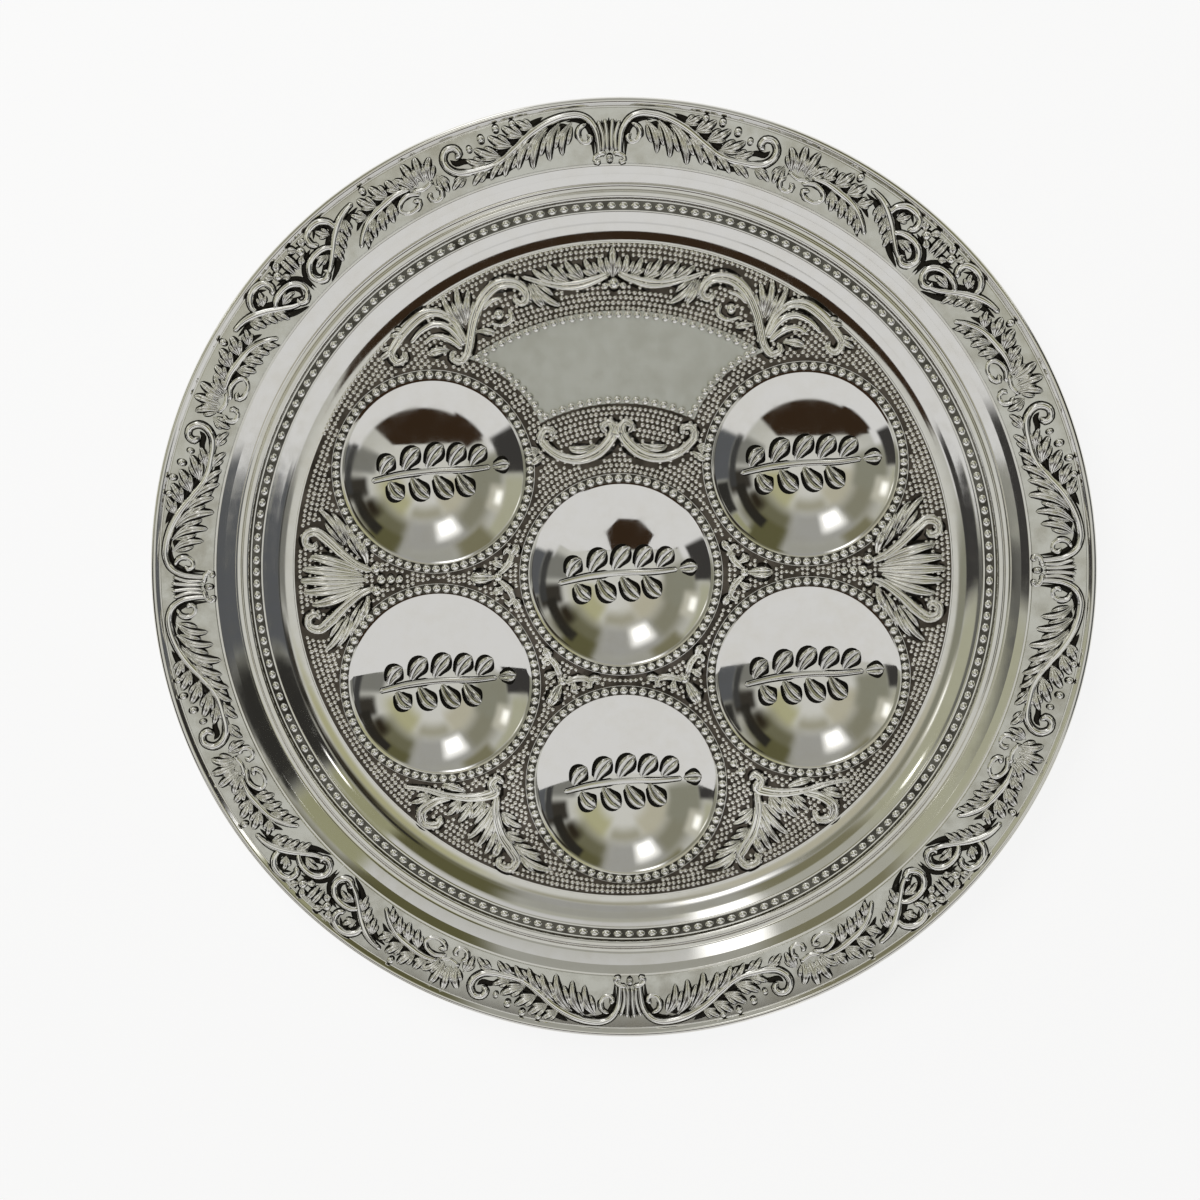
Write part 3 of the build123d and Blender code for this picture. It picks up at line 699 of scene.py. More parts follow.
# Dish panel: a flat disc of sheet on the tray's ledge with a round opening for each dish. Its face
# is oxidised almost black, and a narrow smooth margin at its edge is rubbed bright.
PANEL_TOP = 10.6
PANEL_RADIUS = 134.22
MARGIN_WIDTH = 0.67
MARGIN_INSET = 0.02
MARGIN_EASE = 0.15
MARGIN_RISE = 0.12
MARGIN_SINK = 0.05
MARGIN_SLOPE = 0.05
panel_oxide = plated("panel_oxide", (0.125, 0.108, 0.090), (0.050, 0.043, 0.036), 0.8, 0.30, 0.55, 0.4)
refinished("dish_panel", panel_oxide)
margin = [(PANEL_RADIUS - MARGIN_WIDTH - MARGIN_SLOPE, PANEL_TOP - MARGIN_SINK),
          (PANEL_RADIUS - MARGIN_WIDTH, PANEL_TOP + MARGIN_RISE),
          (PANEL_RADIUS - MARGIN_EASE - MARGIN_INSET, PANEL_TOP + MARGIN_RISE),
          (PANEL_RADIUS - MARGIN_INSET, PANEL_TOP), (PANEL_RADIUS - MARGIN_INSET, PANEL_TOP - MARGIN_SINK)]
fitted("panel_margin", spun_mesh("panel_margin", margin, polished_silver), "antiqued_silver_plate")

# Dishes: six shallow bowls spun from sheet, polished inside, each hung in the panel by a flat
# flange. A leaf sprig is chased in the bottom of each, with dark oxide left along its lines.
DISH_CIRCLE_RADIUS = 86.88
DISH_FLANGE_RADIUS = 41.34
DISH_MOUTH_RADIUS = 37.54
DISH_DEPTH = 9.5
DISH_SHEET = 0.7
SPRIG_RISE = 0.5
DISH_FLANGE_TOP = PANEL_TOP + DISH_SHEET
BOWL_RADIUS = (DISH_MOUTH_RADIUS ** 2 + DISH_DEPTH ** 2) / (2 * DISH_DEPTH)
DISH_BEARINGS = {"top_left": 150, "top_right": 30, "lower_left": 210, "lower_right": 330, "bottom": 270}
DISHES = {name: (DISH_CIRCLE_RADIUS * cos(radians(way)), DISH_CIRCLE_RADIUS * sin(radians(way)))
          for name, way in DISH_BEARINGS.items()}
DISHES["centre"] = (0.0, 0.0)


def bowl_line(radius, reach, centre_height, steps=22):
    """Points from the middle of a bowl out to a reach."""
    ways = np.linspace(0, np.arcsin(reach / radius), steps)
    return [(radius * sin(w), centre_height - radius * cos(w)) for w in ways]


bowl_centre = DISH_FLANGE_TOP - DISH_DEPTH + BOWL_RADIUS
bowl_inside = bowl_line(BOWL_RADIUS, DISH_MOUTH_RADIUS, bowl_centre)
under_reach = sqrt((BOWL_RADIUS + DISH_SHEET) ** 2 - (bowl_centre - PANEL_TOP) ** 2)
bowl_under = bowl_line(BOWL_RADIUS + DISH_SHEET, under_reach, bowl_centre)
dish_silver = plated("dish_silver", (0.84, 0.83, 0.79), (0.76, 0.73, 0.64), 0.35, 0.03, 0.09, 0.05)
bowl = spun_mesh("bowl", bowl_inside
                 + [(DISH_FLANGE_RADIUS, DISH_FLANGE_TOP), (DISH_FLANGE_RADIUS, PANEL_TOP)]
                 + bowl_under[::-1], dish_silver, turns=128)
sprig_lines = stem([(-26, -3.6), (-14, -1.4), (0, -0.2), (13, 0), (23, 1.2)], 0.9, 1.4, 0.8)
for x, y, reach in ((-22, -2.6, 8.6), (-13, -1.2, 10.4), (-3.5, -0.4, 10.8), (6, 0, 10)):
    sprig_lines += leaf((x, y + 1.2), (x + 0.66 * reach, y + reach), 1.0, 5.4)
    sprig_lines += leaf((x + 3.2, y - 1.2), (x + 3.2 + 0.68 * reach, y - 0.96 * reach), -1.0, 5.4)
sprig_lines += leaves(leaf, (14.6, 1.6, 21.4, 9.2, 0.8, 5.0), (23.4, 1.2, 31, 2.4, 0.2, 4.6))
sprig_silver = antiqued("sprig_silver", (0.030, 0.028, 0.024), (0.78, 0.77, 0.73), 0.20, 0.50, 0.08, 0.2)
sprig = chased("sprig", sprig_lines, sprig_silver, DISH_FLANGE_TOP - DISH_DEPTH, SPRIG_RISE,
               **{"Bowl Radius": BOWL_RADIUS / 1000})
dish = joined("dish", bowl, sprig)
for name, (x, y) in DISHES.items():
    fitted(f"spun_dish_{name}", placed(dish, f"spun_dish_{name}", x, y), "polished_silver_plate",
           f"dish_{name}")

# Dish beads: a ring of beaded wire soldered on the flange of each dish, covering its joint with the
# panel.
DISH_BEAD_RADIUS = DISH_MOUTH_RADIUS + 1.9
DISH_BEAD_WIDTH = 3.7
DISH_BEAD_COUNT = 64
DISH_BEAD_LIFT = 0.1
DISH_BED_WIDTH = 3.4
dish_ring = joined("dish_ring",
                   bead_bed("dish_bed", DISH_BEAD_RADIUS, DISH_BED_WIDTH, DISH_FLANGE_TOP, cleft_oxide),
                   bead_row("dish_row", ring_path(DISH_BEAD_RADIUS), DISH_BEAD_WIDTH, DISH_BEAD_WIDTH,
                            DISH_BEAD_COUNT, DISH_FLANGE_TOP + DISH_BEAD_LIFT, bead_silver))
for name, (x, y) in DISHES.items():
    fitted(f"bead_ring_{name}", placed(dish_ring, f"bead_ring_{name}", x, y), "antiqued_silver_plate",
           f"dish_beads_{name}")

# Cartouche: a fan-shaped plate left plain for engraving, with an even satin finish, and a frame of
# larger beads soldered round its margin.
CARTOUCHE_TOP_RADIUS = PANEL_RADIUS - 0.205 * PANEL_RADIUS
CARTOUCHE_FOOT_RADIUS = DISH_FLANGE_RADIUS + 0.21 * PANEL_RADIUS
CARTOUCHE_SIDE_RADIUS = DISH_FLANGE_RADIUS + 6.8
CARTOUCHE_TOP = PANEL_TOP + 0.6
FRAME_INSET = 1.596
FRAME_BEAD_WIDTH = 3.5
FRAME_BEAD_PITCH = 3.75
FRAME_BEAD_LIFT = 0.4


def satin_metal():
    """Satin silver: fine cross-brushed lines on a pale even grey."""
    material = plated("satin_silver", (0.66, 0.67, 0.63), (0.60, 0.60, 0.54), 0.4, 0.34, 0.42, 0.3)
    tree = material.node_tree
    lay = put(tree, "ShaderNodeMapping",
              {"Vector": put(tree, "ShaderNodeTexCoord").outputs["Object"], "Scale": (60.0, 2600.0, 60.0)})
    lines = put(tree, "ShaderNodeTexNoise", {"Vector": lay, "Scale": 1.0, "Detail": 2.0})
    bump = put(tree, "ShaderNodeBump",
               {"Height": lines.outputs["Fac"], "Strength": 0.35, "Distance": 0.00006})
    tree.links.new(bump.outputs[0], tree.nodes["Principled BSDF"].inputs["Normal"])
    return material


def meeting(first, first_radius, second, second_radius):
    """Where two circles meet, the point with the larger y."""
    a, b = np.array(first, float), np.array(second, float)
    gap = np.linalg.norm(b - a)
    along = (first_radius ** 2 - second_radius ** 2 + gap ** 2) / (2 * gap)
    off = sqrt(first_radius ** 2 - along ** 2)
    way = (b - a) / gap
    ends = [a + way * along + sign * off * np.array((-way[1], way[0])) for sign in (1, -1)]
    return max(ends, key=lambda p: p[1])


def arc_path(centre, start, end, steps=40):
    """Points on the shorter arc about a centre from start to end."""
    a, b = np.array(start) - centre, np.array(end) - centre
    first = atan2(a[1], a[0])
    turn = (atan2(b[1], b[0]) - first + pi) % (2 * pi) - pi
    ways = first + turn * np.arange(steps) / steps
    return [tuple(centre + np.linalg.norm(a) * np.array((cos(way), sin(way)))) for way in ways]


left, right, middle = np.array(DISHES["top_left"]), np.array(DISHES["top_right"]), np.zeros(2)
top, foot = CARTOUCHE_TOP_RADIUS - FRAME_INSET, CARTOUCHE_FOOT_RADIUS + FRAME_INSET
corners = [meeting(middle, radius, side, CARTOUCHE_SIDE_RADIUS + FRAME_INSET)
           for side, radius in ((left, top), (right, top), (right, foot), (left, foot))]
frame_path = (arc_path(middle, corners[0], corners[1]) + arc_path(right, corners[1], corners[2])
              + arc_path(middle, corners[2], corners[3]) + arc_path(left, corners[3], corners[0]))
next_points = frame_path[1:] + frame_path[:1]
frame_length = sum(np.linalg.norm(np.array(a) - b) for a, b in zip(frame_path, next_points))
refinished("cartouche_plate", satin_metal())
bead_frame = bead_row("cartouche_row", frame_path, FRAME_BEAD_WIDTH, FRAME_BEAD_WIDTH,
                      round(frame_length / FRAME_BEAD_PITCH), CARTOUCHE_TOP + FRAME_BEAD_LIFT, bead_silver)
fitted("cartouche_frame", bead_frame, "antiqued_silver_plate", "cartouche_beads")

# Mounts: leaf and scroll castings chased up and applied to the panel: a swag over the cartouche, a
# pair of scrolls under it, palmettes at the sides, sprays below and small sprays between dishes.
MOUNT_RISE = 1.15
mount_silver = antiqued("mount_silver", (0.032, 0.028, 0.023), (0.98, 0.97, 0.92), 0.04, 0.45, 0.06, 0.14)
swag_half = (
    stem([(-1.5, 121.5), (-7, 119.2), (-14, 117.2), (-21, 117), (-28, 118.4), (-37, 121)], 1.2, 2.2, 0.8, 1)
    + leaves(acanthus, (-6.2, 120, -11.6, 127.6, 0.8, 4.6), (-11.6, 119, -19.4, 127, 1.0, 4.8),
             (-17.4, 118.4, -26.6, 125.8, 1.0, 4.6), (-23.4, 118.6, -32.8, 124, 0.8, 4.2),
             (-33, 119.4, -21.6, 109, -1.6, 4.8), (-34.5, 119, -28.6, 108.6, -1.0, 4.2))
    + stem([(-40.8, 112.6), (-37.4, 110.4), (-35, 113), (-37.4, 117.2), (-42.4, 118.8), (-48.4, 117.2),
            (-53.4, 112), (-56.6, 104.4), (-58.2, 97.4), (-59.4, 91.6), (-62.4, 87.8), (-66, 89.2),
            (-65, 92.4)], 1.1, 2.5, 1.1, 1)
    + knob(-46.6, 106.2, 2.2)
    + stem([(-42.6, 108.6), (-41.4, 104.4), (-45.4, 101.8), (-50.6, 103)], 0.8, 1.2, 0.6)
    + leaf((-56, 99.6), (-48, 98.6), 0.6, 2.8)
    + stem([(-53, 108), (-49.6, 111.6), (-45.2, 113)], 0.7, 1.2, 0.6)
    + leaves(acanthus, (-59, 102.6, -58.4, 116.4, 0.6, 4.6), (-59.6, 101.8, -63.4, 117.6, 0.8, 4.8),
             (-60.4, 100.6, -69.4, 114.6, 1.0, 4.6))
    + stem([(-59.6, 94.4), (-64.4, 103.4), (-70.4, 107.4), (-76.6, 107), (-82.4, 102.8), (-87.4, 97),
            (-90.4, 91.6), (-88, 88), (-84.8, 90), (-86, 92.4)], 1.1, 2.3, 1.1, 1)
    + stem([(-60.8, 94), (-66, 100.8), (-72, 103), (-78, 100.4), (-82.6, 95.4)], 1.0, 1.8, 0.8)
    + stem([(-61.6, 92.6), (-67, 96.8), (-72.8, 98), (-77.4, 95)], 0.9, 1.6, 0.7)
    + leaf((-66.6, 92.4), (-75.6, 90.6), -0.8, 3.4)
    + leaves(acanthus, (-83.4, 101, -91, 98.6, 0.6, 4.0), (-88.4, 95, -95.6, 89.4, 0.6, 4.0)))
swag_bud = (leaves(acanthus, (-0.4, 119, -0.2, 132.4, 0, 5.0), (-2, 119.8, -5.6, 129, 0.9, 4.2),
                   (2, 119.8, 5.6, 129, -0.9, 4.2)) + knob(0, 117.4, 2.4) + knob(-3.6, 116.6, 1.5)
            + knob(3.6, 116.6, 1.5))
scroll_half = (
    stem([(-4.2, 57.6), (-6, 60.2), (-3.2, 62), (-1.4, 58.8), (-3.4, 54.4), (-8.5, 49.7), (-15, 47.4),
          (-21.5, 48), (-27, 51), (-31, 55.6), (-29.6, 59.6), (-26.2, 59), (-26.4, 56.2)], 1.0, 2.5, 1.0, 1)
    + leaf((-9, 53.4), (-20, 52), 1.4, 3.2) + acanthus((-31.5, 52), (-38.4, 49.6), 0.4, 3.6)
    + leaf((-30, 49.6), (-36, 45.8), 0.3, 3.0))
palmette_half = (
    stem([(-101.6, 3.6), (-107, 6), (-113.5, 11), (-119, 16.4), (-123.8, 20), (-128, 18.8), (-128.2, 15),
          (-125, 13.8), (-123.8, 16.2)], 1.2, 2.4, 1.1, 1)
    + leaves(leaf, (-105, 1.7, -130.4, 4.8, -0.5, 4.0), (-106, 3.2, -127, 10, -0.9, 4.0))
    + leaves(acanthus, (-112.5, 13.6, -122.6, 29.4, -1.8, 4.6), (-110, 12, -117.4, 27.6, -1.8, 4.2),
             (-106, 8, -112.6, 22.6, -1.6, 4.4)) + leaf((-103.6, 6), (-107.4, 16.4), -1.0, 3.4)
    + knob(-100, 4.6, 2.2))
palmette_middle = (leaf((-103.6, 0), (-131.4, 0), 0, 4.2) + knob(-98, 0, 2.0) + knob(-94, 0, 1.8)
                   + knob(-90.4, 0, 1.6))
spray_lines = (
    stem([(-50.6, -85.8), (-52.8, -83.4), (-55.4, -85.6), (-54, -89), (-59, -90.8), (-66, -91.2),
          (-75, -89.8), (-83, -87.4), (-92, -86.2)], 1.1, 2.4, 0.8, 1)
    + leaves(acanthus, (-58.6, -91.4, -64.6, -100, 0.9, 4.4), (-63.4, -92, -70, -101.6, 0.9, 4.6),
             (-68, -91.6, -74.6, -98.6, 0.7, 3.8))
    + stem([(-72, -91), (-79, -92.6), (-84.6, -96.6), (-83.8, -101.8), (-78.4, -102.4), (-76.8, -98.4)],
           1.2, 2.3, 1.2, 1)
    + acanthus((-80, -89.4), (-89, -93), 0.6, 4.0) + leaf((-66, -89), (-76, -85.6), -0.6, 3.2)
    + stem([(-53.4, -90), (-54, -98), (-52, -107), (-48.2, -113.4), (-46, -118), (-49.2, -121.6),
            (-53.6, -119.4), (-52.4, -116)], 1.2, 2.4, 1.1, 1)
    + leaves(acanthus, (-54, -92.6, -66.2, -108.6, 1.6, 4.8), (-54, -95.6, -62.8, -112.4, 1.4, 4.8),
             (-53.4, -101, -59.4, -115.4, 1.0, 4.4)) + leaf((-51.8, -107.4), (-56, -116.4), 0.6, 3.4)
    + leaves(acanthus, (-46.8, -113, -31.4, -122.4, -1.8, 5.0), (-47.8, -110.6, -36, -115.6, -1.2, 4.0),
             (-52.6, -97, -43.4, -104, -0.9, 4.0), (-51, -105.6, -42.4, -109.8, -0.7, 3.6))
    + knob(-47.4, -82, 2.0) + knob(-44.2, -78.8, 1.6))


def flipped(lines, signs=(-1, 1)):
    """The lines mirrored left to right, or by other signs for x and y."""
    return [line * (*signs, 1, 1, 1) for line in lines]


def gap_spray(x, y, turn):
    """One leaf and two curled arms out of one knob, in the three-cornered gap between dishes."""
    curl = stem([(0.4, 1.0), (-2.4, 3.0), (-5.0, 6.2), (-5.8, 9.4), (-3.8, 11), (-2.4, 9)],
                0.8, 1.5, 0.8, 1)
    arm = curl + leaves(leaf, (-2.2, 3.6, 2.4, 6.4, 0.5, 3.2), (-5.2, 8.6, -8.6, 13.4, 0.5, 3.2))
    lines = knob(0, 0, 2.0) + leaf((1.2, 0), (11.5, 0), 0, 5.0) + arm + flipped(arm, (1, -1))
    way = radians(turn)
    spun = np.eye(5)
    spun[:2, :2] = (cos(way), sin(way)), (-sin(way), cos(way))
    return [line @ spun + (x, y, 0, 0, 0) for line in lines]


def gap_middle(*names):
    """The middle of the gap between three dishes."""
    return [sum(DISHES[name][axis] for name in names) / 3 for axis in (0, 1)]


mounts = {
    "top_swag": swag_half + flipped(swag_half) + swag_bud,
    "double_scroll": scroll_half + flipped(scroll_half) + knob(0, 57.4, 2.2),
    "palmette_left": palmette_half + flipped(palmette_half, (1, -1)) + palmette_middle,
    "spray_lower_left": spray_lines,
    "spray_lower_right": flipped(spray_lines),
    "gap_spray_left": gap_spray(*gap_middle("centre", "top_left", "lower_left"), 180),
    "gap_spray_right": gap_spray(*gap_middle("centre", "top_right", "lower_right"), 0),
    "gap_spray_lower_left": gap_spray(*gap_middle("centre", "lower_left", "bottom"), 240),
    "gap_spray_lower_right": gap_spray(*gap_middle("centre", "lower_right", "bottom"), 300),
}
mounts["palmette_right"] = flipped(mounts["palmette_left"])
mount_pieces = []
for name, lines in mounts.items():
    mesh = chased(name, lines, mount_silver, PANEL_TOP, MOUNT_RISE)
    mount_pieces.append(fitted(f"mount_{name}", mesh, "antiqued_silver_plate", name))

# Stipple: the panel's face is punched all over with small round bosses, close but not in rows, up to
# the dishes, the cartouche and the mounts. Their tops are rubbed bright over the dark ground.
STIPPLE_PITCH = 2.1
STIPPLE_RADIUS = 133.2
STIPPLE_SEED = 7
BOSS_WIDTH = 2.18
BOSS_SHAKE = 0.12
DISH_CLEAR = 0.9
WORK_CLEAR = 0.2


def stipple_tree():
    """Sets bosses in close rounds out from the middle, clear of the dishes, the cartouche and the mounts."""
    tree, given = open_tree("stipple", [
        ("Pitch", "Float"), ("Boss Count", "Int"), ("Boss Width", "Float"), ("Height", "Float"),
        ("Seed", "Int"), ("Dish Middles", "Object"), ("Dish Clear", "Float"),
        ("Work In The Way", "Object"), ("Work Clear", "Float"), ("Material", "Material")])
    number = put(tree, "GeometryNodeInputIndex")
    root = reckon(tree, "POWER", number, 0.5)
    out = reckon(tree, "MULTIPLY", root, given["Pitch"])
    radius = reckon(tree, "MULTIPLY", out, pi ** -0.5)
    turn = reckon(tree, "MULTIPLY", root, 2 * pi ** 0.5)
    shake = BOSS_SHAKE / 1000
    stir = put(tree, "FunctionNodeRandomValue",
               {0: (-shake, -shake, 0), 1: (shake, shake, 0), "Seed": given["Seed"]},
               data_type="FLOAT_VECTOR")
    x = reckon(tree, "MULTIPLY", radius, reckon(tree, "COSINE", turn))
    y = reckon(tree, "MULTIPLY", radius, reckon(tree, "SINE", turn))
    place = put(tree, "ShaderNodeCombineXYZ", {"X": x, "Y": y, "Z": given["Height"]})
    shaken = put(tree, "ShaderNodeVectorMath", {0: place, 1: stir}, operation="ADD")
    spots = put(tree, "GeometryNodePoints", {"Count": given["Boss Count"], "Position": shaken})
    clear = []
    for target, gap, element in (("Dish Middles", "Dish Clear", "POINTS"),
                                 ("Work In The Way", "Work Clear", "FACES")):
        info = put(tree, "GeometryNodeObjectInfo", {"Object": given[target]})
        near = put(tree, "GeometryNodeProximity", {"Geometry": info.outputs["Geometry"]},
                   target_element=element)
        clear.append(put(tree, "FunctionNodeCompare", {0: near.outputs["Distance"], 1: given[gap]},
                         data_type="FLOAT", operation="LESS_THAN"))
    either = put(tree, "FunctionNodeBooleanMath", {0: clear[0], 1: clear[1]}, operation="OR")
    left_over = put(tree, "GeometryNodeDeleteGeometry", {"Geometry": spots, "Selection": either},
                    domain="POINT")
    ball = put(tree, "GeometryNodeMeshUVSphere", {"Segments": 6, "Rings": 6, "Radius": 0.5})
    level = point_parts(tree)["Z"]
    buried = put(tree, "FunctionNodeCompare", {0: level, 1: -0.1}, data_type="FLOAT", operation="LESS_THAN")
    dome = put(tree, "GeometryNodeDeleteGeometry", {"Geometry": ball.outputs["Mesh"], "Selection": buried},
               domain="POINT")
    marked = relief_kept(tree, dome, reckon(tree, "MULTIPLY", level, 2.0))
    uneven = put(tree, "FunctionNodeRandomValue", {2: 0.86, 3: 1.06, "Seed": given["Seed"]},
                 data_type="FLOAT")
    wide = reckon(tree, "MULTIPLY", uneven.outputs[1], given["Boss Width"])
    bosses = put(tree, "GeometryNodeInstanceOnPoints",
                 {"Points": left_over, "Instance": marked, "Scale": wide})
    close_tree(tree, bosses, given["Material"])
    return tree


middles = bpy.data.meshes.new("dish_middles")
middles.from_pydata([(x / 1000, y / 1000, PANEL_TOP / 1000) for x, y in DISHES.values()], [], [])
middles_object = set_out("dish_middles", middles)
raised_work = [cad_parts["cartouche_plate"].data] + [piece.data for piece in mount_pieces]
work_object = set_out("work", joined("work", *raised_work))
stipple_silver = antiqued("stipple_silver", (0.036, 0.030, 0.024), (0.98, 0.96, 0.92), -0.34, 0.08,
                          0.06, 0.16)
stipple = worked(set_out("field", bpy.data.meshes.new("field")), stipple_tree(), {
    "Pitch": STIPPLE_PITCH / 1000, "Boss Count": int(pi * (STIPPLE_RADIUS / STIPPLE_PITCH) ** 2),
    "Boss Width": BOSS_WIDTH / 1000, "Height": PANEL_TOP / 1000, "Seed": STIPPLE_SEED,
    "Dish Middles": middles_object, "Dish Clear": (DISH_FLANGE_RADIUS + DISH_CLEAR) / 1000,
    "Work In The Way": work_object, "Work Clear": WORK_CLEAR / 1000, "Material": stipple_silver})
bpy.data.objects.remove(middles_object)
bpy.data.objects.remove(work_object)
fitted("stipple", stipple, "antiqued_silver_plate")

# Stage: a pale floor, a white surround, a soft studio sky that the silver mirrors, and the camera
# almost straight above the plate.
FLOOR_HALF = 9
FLOOR_GAP = 0.0004
SQUARE = ((-1, -1), (1, -1), (1, 1), (-1, 1))
floor_mesh = bpy.data.meshes.new("floor")
floor_mesh.from_pydata([(x * FLOOR_HALF, y * FLOOR_HALF, -FLOOR_GAP) for x, y in SQUARE], [],
                       [(0, 1, 2, 3)])
floor = set_out("floor", floor_mesh)
floor_paint = bpy.data.materials.new("floor_paint")
floor_paint.use_nodes = True
tree = floor_paint.node_tree
paint = tree.nodes["Principled BSDF"]
paint.inputs["Base Color"].default_value = (0.88, 0.88, 0.88, 1)
paint.inputs["Roughness"].default_value = 0.9
ray = put(tree, "ShaderNodeLightPath").outputs
seen = reckon(tree, "MAXIMUM", ray["Is Camera Ray"], ray["Is Glossy Ray"])
part = reckon(tree, "MULTIPLY", seen, 0.86)
white = put(tree, "ShaderNodeEmission", {"Color": (1, 1, 1, 1), "Strength": 1.0})
both = put(tree, "ShaderNodeMixShader", {0: part, 1: paint, 2: white})
tree.links.new(both.outputs[0], tree.nodes["Material Output"].inputs["Surface"])
floor_mesh.materials.append(floor_paint)

world = bpy.data.worlds.new("studio")
bpy.context.scene.world = world
world.use_nodes = True
sky = world.node_tree
way = put(sky, "ShaderNodeVectorMath", {0: put(sky, "ShaderNodeTexCoord").outputs["Generated"]},
          operation="NORMALIZE")
lean = reckon(sky, "ARCCOSINE", put(sky, "ShaderNodeSeparateXYZ", {0: way}).outputs["Z"])
lean = reckon(sky, "MULTIPLY", lean, 180 / pi)
plan = put(sky, "ShaderNodeVectorMath", {0: way, 1: (1, 1, 0)}, operation="MULTIPLY")
plan = put(sky, "ShaderNodeVectorMath", {0: plan}, operation="NORMALIZE")


def edge(value, start, end):
    """A soft step of a value from 0 at start to 1 at end."""
    return put(sky, "ShaderNodeMapRange", {"Value": value, "From Min": start, "From Max": end},
               interpolation_type="SMOOTHSTEP")


def studio_card(toward, half, near, far, soft):
    """Mask of a card in the sky: half its width round the compass, and near to far down from overhead."""
    a = radians(toward)
    facing = put(sky, "ShaderNodeVectorMath", {0: plan, 1: (cos(a), sin(a), 0)},
                 operation="DOT_PRODUCT").outputs["Value"]
    mask = edge(facing, cos(radians(half + 2 * soft)), cos(radians(max(half - 2 * soft, 0))))
    for side in (edge(lean, near - soft, near + soft), edge(lean, far + soft, far - soft)):
        mask = reckon(sky, "MULTIPLY", mask, side)
    return mask


def ramp(tree, feed, stops):
    """A colour ramp on a value, from (place, colour) stops."""
    step = put(tree, "ShaderNodeValToRGB", {"Fac": feed})
    for element, (place, colour) in zip(step.color_ramp.elements, (stops[0], stops[-1])):
        element.position, element.color = place, (*colour, 1)
    for place, colour in stops[1:-1]:
        step.color_ramp.elements.new(place).color = (*colour, 1)
    return step.outputs["Color"]


share = reckon(sky, "MULTIPLY", lean, 1 / 90)
tone = ramp(sky, share,
            [(0.0, (0.64, 0.64, 0.62)), (0.25, (0.62, 0.62, 0.59)), (0.45, (0.50, 0.50, 0.47)),
             (0.75, (0.42, 0.42, 0.37)), (1.0, (0.38, 0.38, 0.34))])
near_side = put(sky, "ShaderNodeVectorMath", {0: way, 1: (0, -1, 0)},
                operation="DOT_PRODUCT").outputs["Value"]
room = reckon(sky, "MULTIPLY", studio_card(261, 50, 12, 41, 1), edge(near_side, 0.325, 0.345))


def laid_over(tone, mask, colour):
    """The sky's tone with a card of one colour laid over it."""
    return put(sky, "ShaderNodeMix", {"Factor": mask, "A": tone, "B": (*colour, 1)},
               data_type="RGBA").outputs["Result"]


ROOM_BROWN = (0.034, 0.020, 0.011)
cards_behind_room = [
    (30, 30, 13, 27, 5, (0.43, 0.42, 0.26)), (48, 24, 26, 46, 5, (0.15, 0.145, 0.09)),
    (150, 30, 12, 27, 5, (0.48, 0.46, 0.37)), (150, 28, 27, 42, 5, (0.24, 0.235, 0.18)),
    (92, 24, 17, 25, 4, (0.36, 0.35, 0.28)), (100, 28, 25, 44, 4, (0.36, 0.36, 0.345)),
    (180, 18, 26, 46, 3, (0.25, 0.25, 0.20)), (341, 11, 28, 46, 2, (0.20, 0.20, 0.185)),
    (6, 9, 33, 47, 2, (0.04, 0.036, 0.03)), (270, 45, 62, 84, 2, (0.60, 0.60, 0.61)),
    (267, 66, 41, 63, 1.5, (0.72, 0.72, 0.73))]
cards_over_room = [
    (228, 14, 30, 43, 1, ROOM_BROWN), (270, 24, 82, 120, 2, (0.54, 0.54, 0.55)),
    (230, 19, 66, 120, 1, (0.13, 0.125, 0.085)), (205, 12, 76, 120, 1, (0.28, 0.28, 0.25)),
    (173, 18, 78, 120, 1, (0.13, 0.13, 0.12)), (137, 18, 70, 120, 3, (0.42, 0.42, 0.38)),
    (72, 44, 70, 120, 3, (0.60, 0.60, 0.60)), (352, 22, 80, 120, 2, (0.22, 0.22, 0.17)),
    (310, 20, 80, 120, 2, (0.36, 0.36, 0.31)), (197, 13, 45, 80, 1, (0.045, 0.043, 0.042)),
    (161, 20, 48, 78, 2, (0.42, 0.42, 0.32)), (128, 13, 42, 64, 2, (0.20, 0.19, 0.12)),
    (92, 22, 42, 62, 4, (0.36, 0.36, 0.33)), (55, 13, 36, 66, 2, (0.11, 0.105, 0.05)),
    (36, 8, 48, 75, 1, (0.32, 0.32, 0.20)), (348, 16, 46, 80, 1, (0.10, 0.105, 0.115)),
    (16, 11, 47, 120, 1, (0.030, 0.029, 0.027)), (29, 20, 37, 43, 1, (0.026, 0.024, 0.020)),
    (28, 8, 31, 38, 3, (0.028, 0.022, 0.014)), (350, 20, 42, 46, 1, (0.05, 0.05, 0.05)),
    (165, 9, 39, 48, 2, (0.55, 0.54, 0.47)), (166, 4, 43, 47, 1.5, (1.3, 1.3, 1.25)),
    (114, 11, 26.5, 37.5, 2.5, (1.1, 1.1, 1.1)), (114, 6, 28, 34, 2, (2.6, 2.6, 2.6)),
    (110, 4, 62, 120, 2, (1.7, 1.7, 1.7)), (284, 3, 82, 120, 1.5, (1.7, 1.7, 1.7)),
    (152, 2, 68, 72, 1, (3.0, 3.0, 2.9)), (28, 3, 56, 60, 1, (2.4, 2.4, 2.4))]
for *card, colour in cards_behind_room:
    tone = laid_over(tone, studio_card(*card), colour)
tone = laid_over(tone, room, ROOM_BROWN)
for *card, colour in cards_over_room:
    tone = laid_over(tone, studio_card(*card), colour)
ray = put(sky, "ShaderNodeLightPath").outputs
shown = put(sky, "ShaderNodeMix", {"Factor": ray["Is Camera Ray"], "A": tone, "B": (1, 1, 1, 1)},
            data_type="RGBA")
sky.links.new(shown.outputs["Result"], sky.nodes["Background"].inputs["Color"])

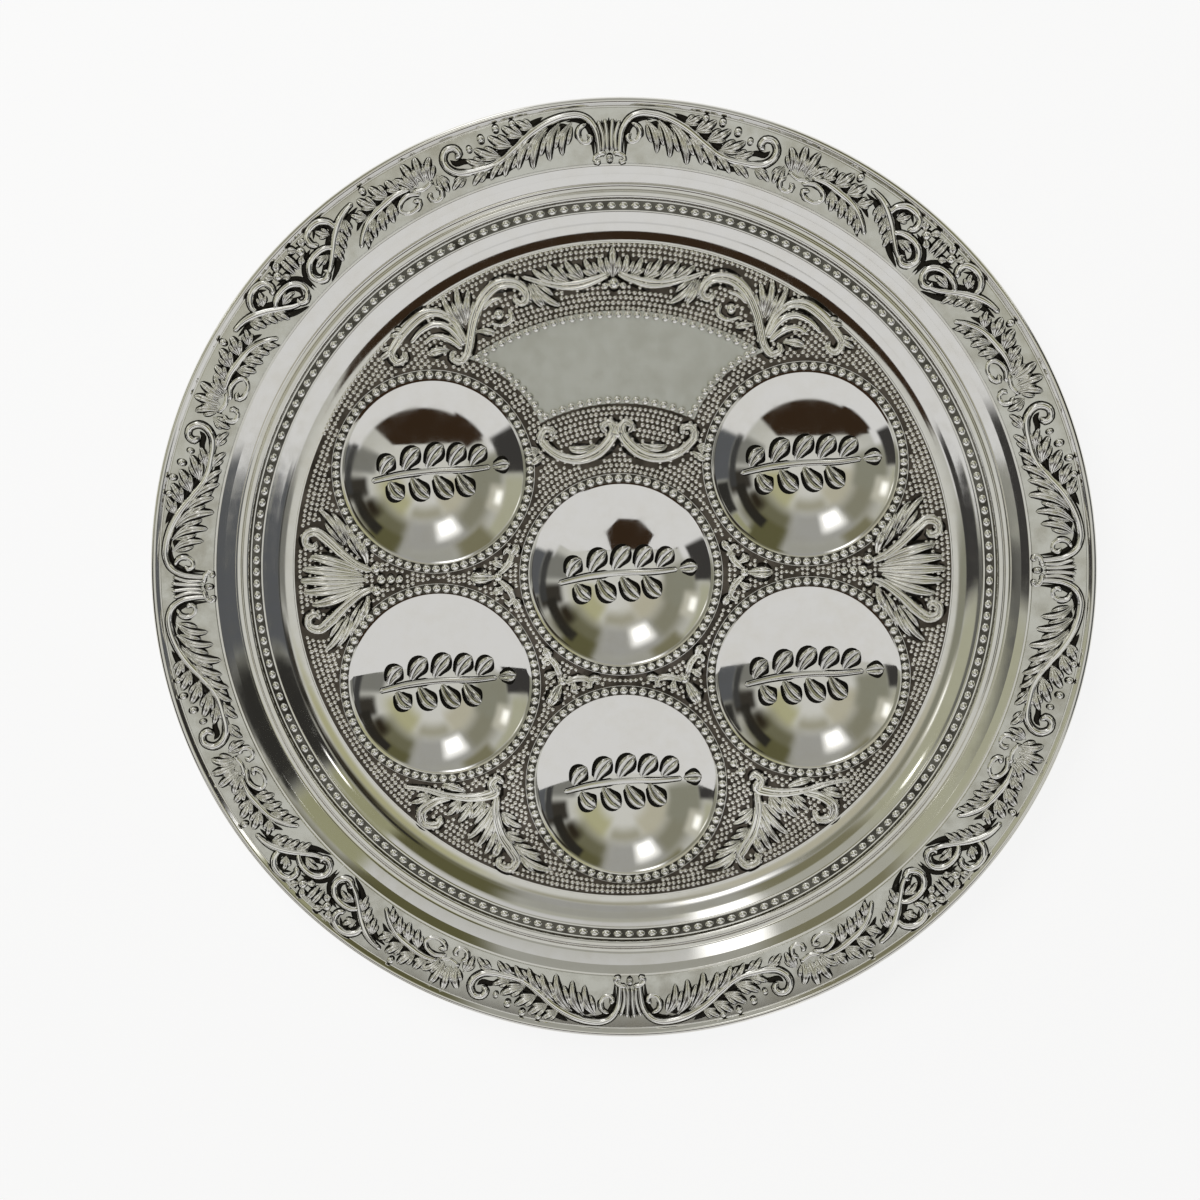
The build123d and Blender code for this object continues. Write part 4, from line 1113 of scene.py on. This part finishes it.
lamp = bpy.data.lights.new("softbox", "AREA")
lamp.shape = "DISK"
lamp.size = 0.9
lamp.energy = 9.0
softbox = set_out("softbox", lamp)
softbox.location = (-0.5, 0.75, 1.25)
softbox.rotation_euler = (-Vector(softbox.location)).to_track_quat("-Z", "Y").to_euler()
softbox.visible_glossy = False

card_white = bpy.data.materials.new("card_white")
card_white.use_nodes = True
card_tree = card_white.node_tree
glow = put(card_tree, "ShaderNodeEmission", {"Color": (0.72, 0.72, 0.73, 1), "Strength": 1.0})
behind = put(card_tree, "ShaderNodeNewGeometry").outputs["Backfacing"]
one_sided = put(card_tree, "ShaderNodeMixShader",
                {0: behind, 1: glow, 2: put(card_tree, "ShaderNodeBsdfTransparent")})
card_tree.links.new(one_sided.outputs[0], card_tree.nodes["Material Output"].inputs["Surface"])


def bounce_card(name, y, outline):
    """A white card standing across the plate at y, facing its top; only the silver's mirror sees it."""
    mesh = bpy.data.meshes.new(name)
    mesh.from_pydata([(x, y, z) for x, z in outline], [], [tuple(range(len(outline) - 1, -1, -1))])
    mesh.materials.append(card_white)
    card = set_out(name, mesh)
    card.visible_camera = card.visible_diffuse = card.visible_shadow = False


bounce_card("near_card", -0.1075, [(-0.075, 0.016), (0.075, 0.016), (0.075, 0.085), (-0.075, 0.085)])
bounce_card("middle_card", -0.0435, [
    (-0.125, 0.0205), (0.125, 0.0205), (0.125, 0.045), (0.049, 0.045), (0.048, 0.138), (0.025, 0.146),
    (0.005, 0.150), (0.006, 0.106), (-0.003, 0.088), (-0.015, 0.088), (-0.030, 0.107), (-0.033, 0.145),
    (-0.062, 0.136), (-0.063, 0.045), (-0.125, 0.045)])

CAMERA_DISTANCE = 1.0
CAMERA_LEAN_RIGHT = 2.1
CAMERA_LEAN_UP = 7.0
CAMERA_ROLL = 1.45
AIM_RIGHT = -8.06
AIM_UP = -8.86
camera_data = bpy.data.cameras.new("camera")
camera = set_out("camera", camera_data)
over = Vector((tan(radians(CAMERA_LEAN_RIGHT)), tan(radians(CAMERA_LEAN_UP)), 1)).normalized()
roll = Matrix.Rotation(-radians(CAMERA_ROLL), 3, "Z")
camera.location = roll @ (Vector((0, 0, ROLL_HEIGHT / 1000)) + over * CAMERA_DISTANCE)
aim = roll @ Vector((AIM_RIGHT / 1000, AIM_UP / 1000, ROLL_HEIGHT / 1000))
back = (camera.location - aim).normalized()
right = (roll @ Vector((0, 1, 0))).cross(back).normalized()
camera.rotation_euler = Matrix((right, back.cross(right), back)).transposed().to_euler()
camera_data.sensor_width = 36.0
camera_data.lens = 74.7
bpy.context.scene.camera = camera
bpy.context.scene.view_settings.view_transform = "Standard"
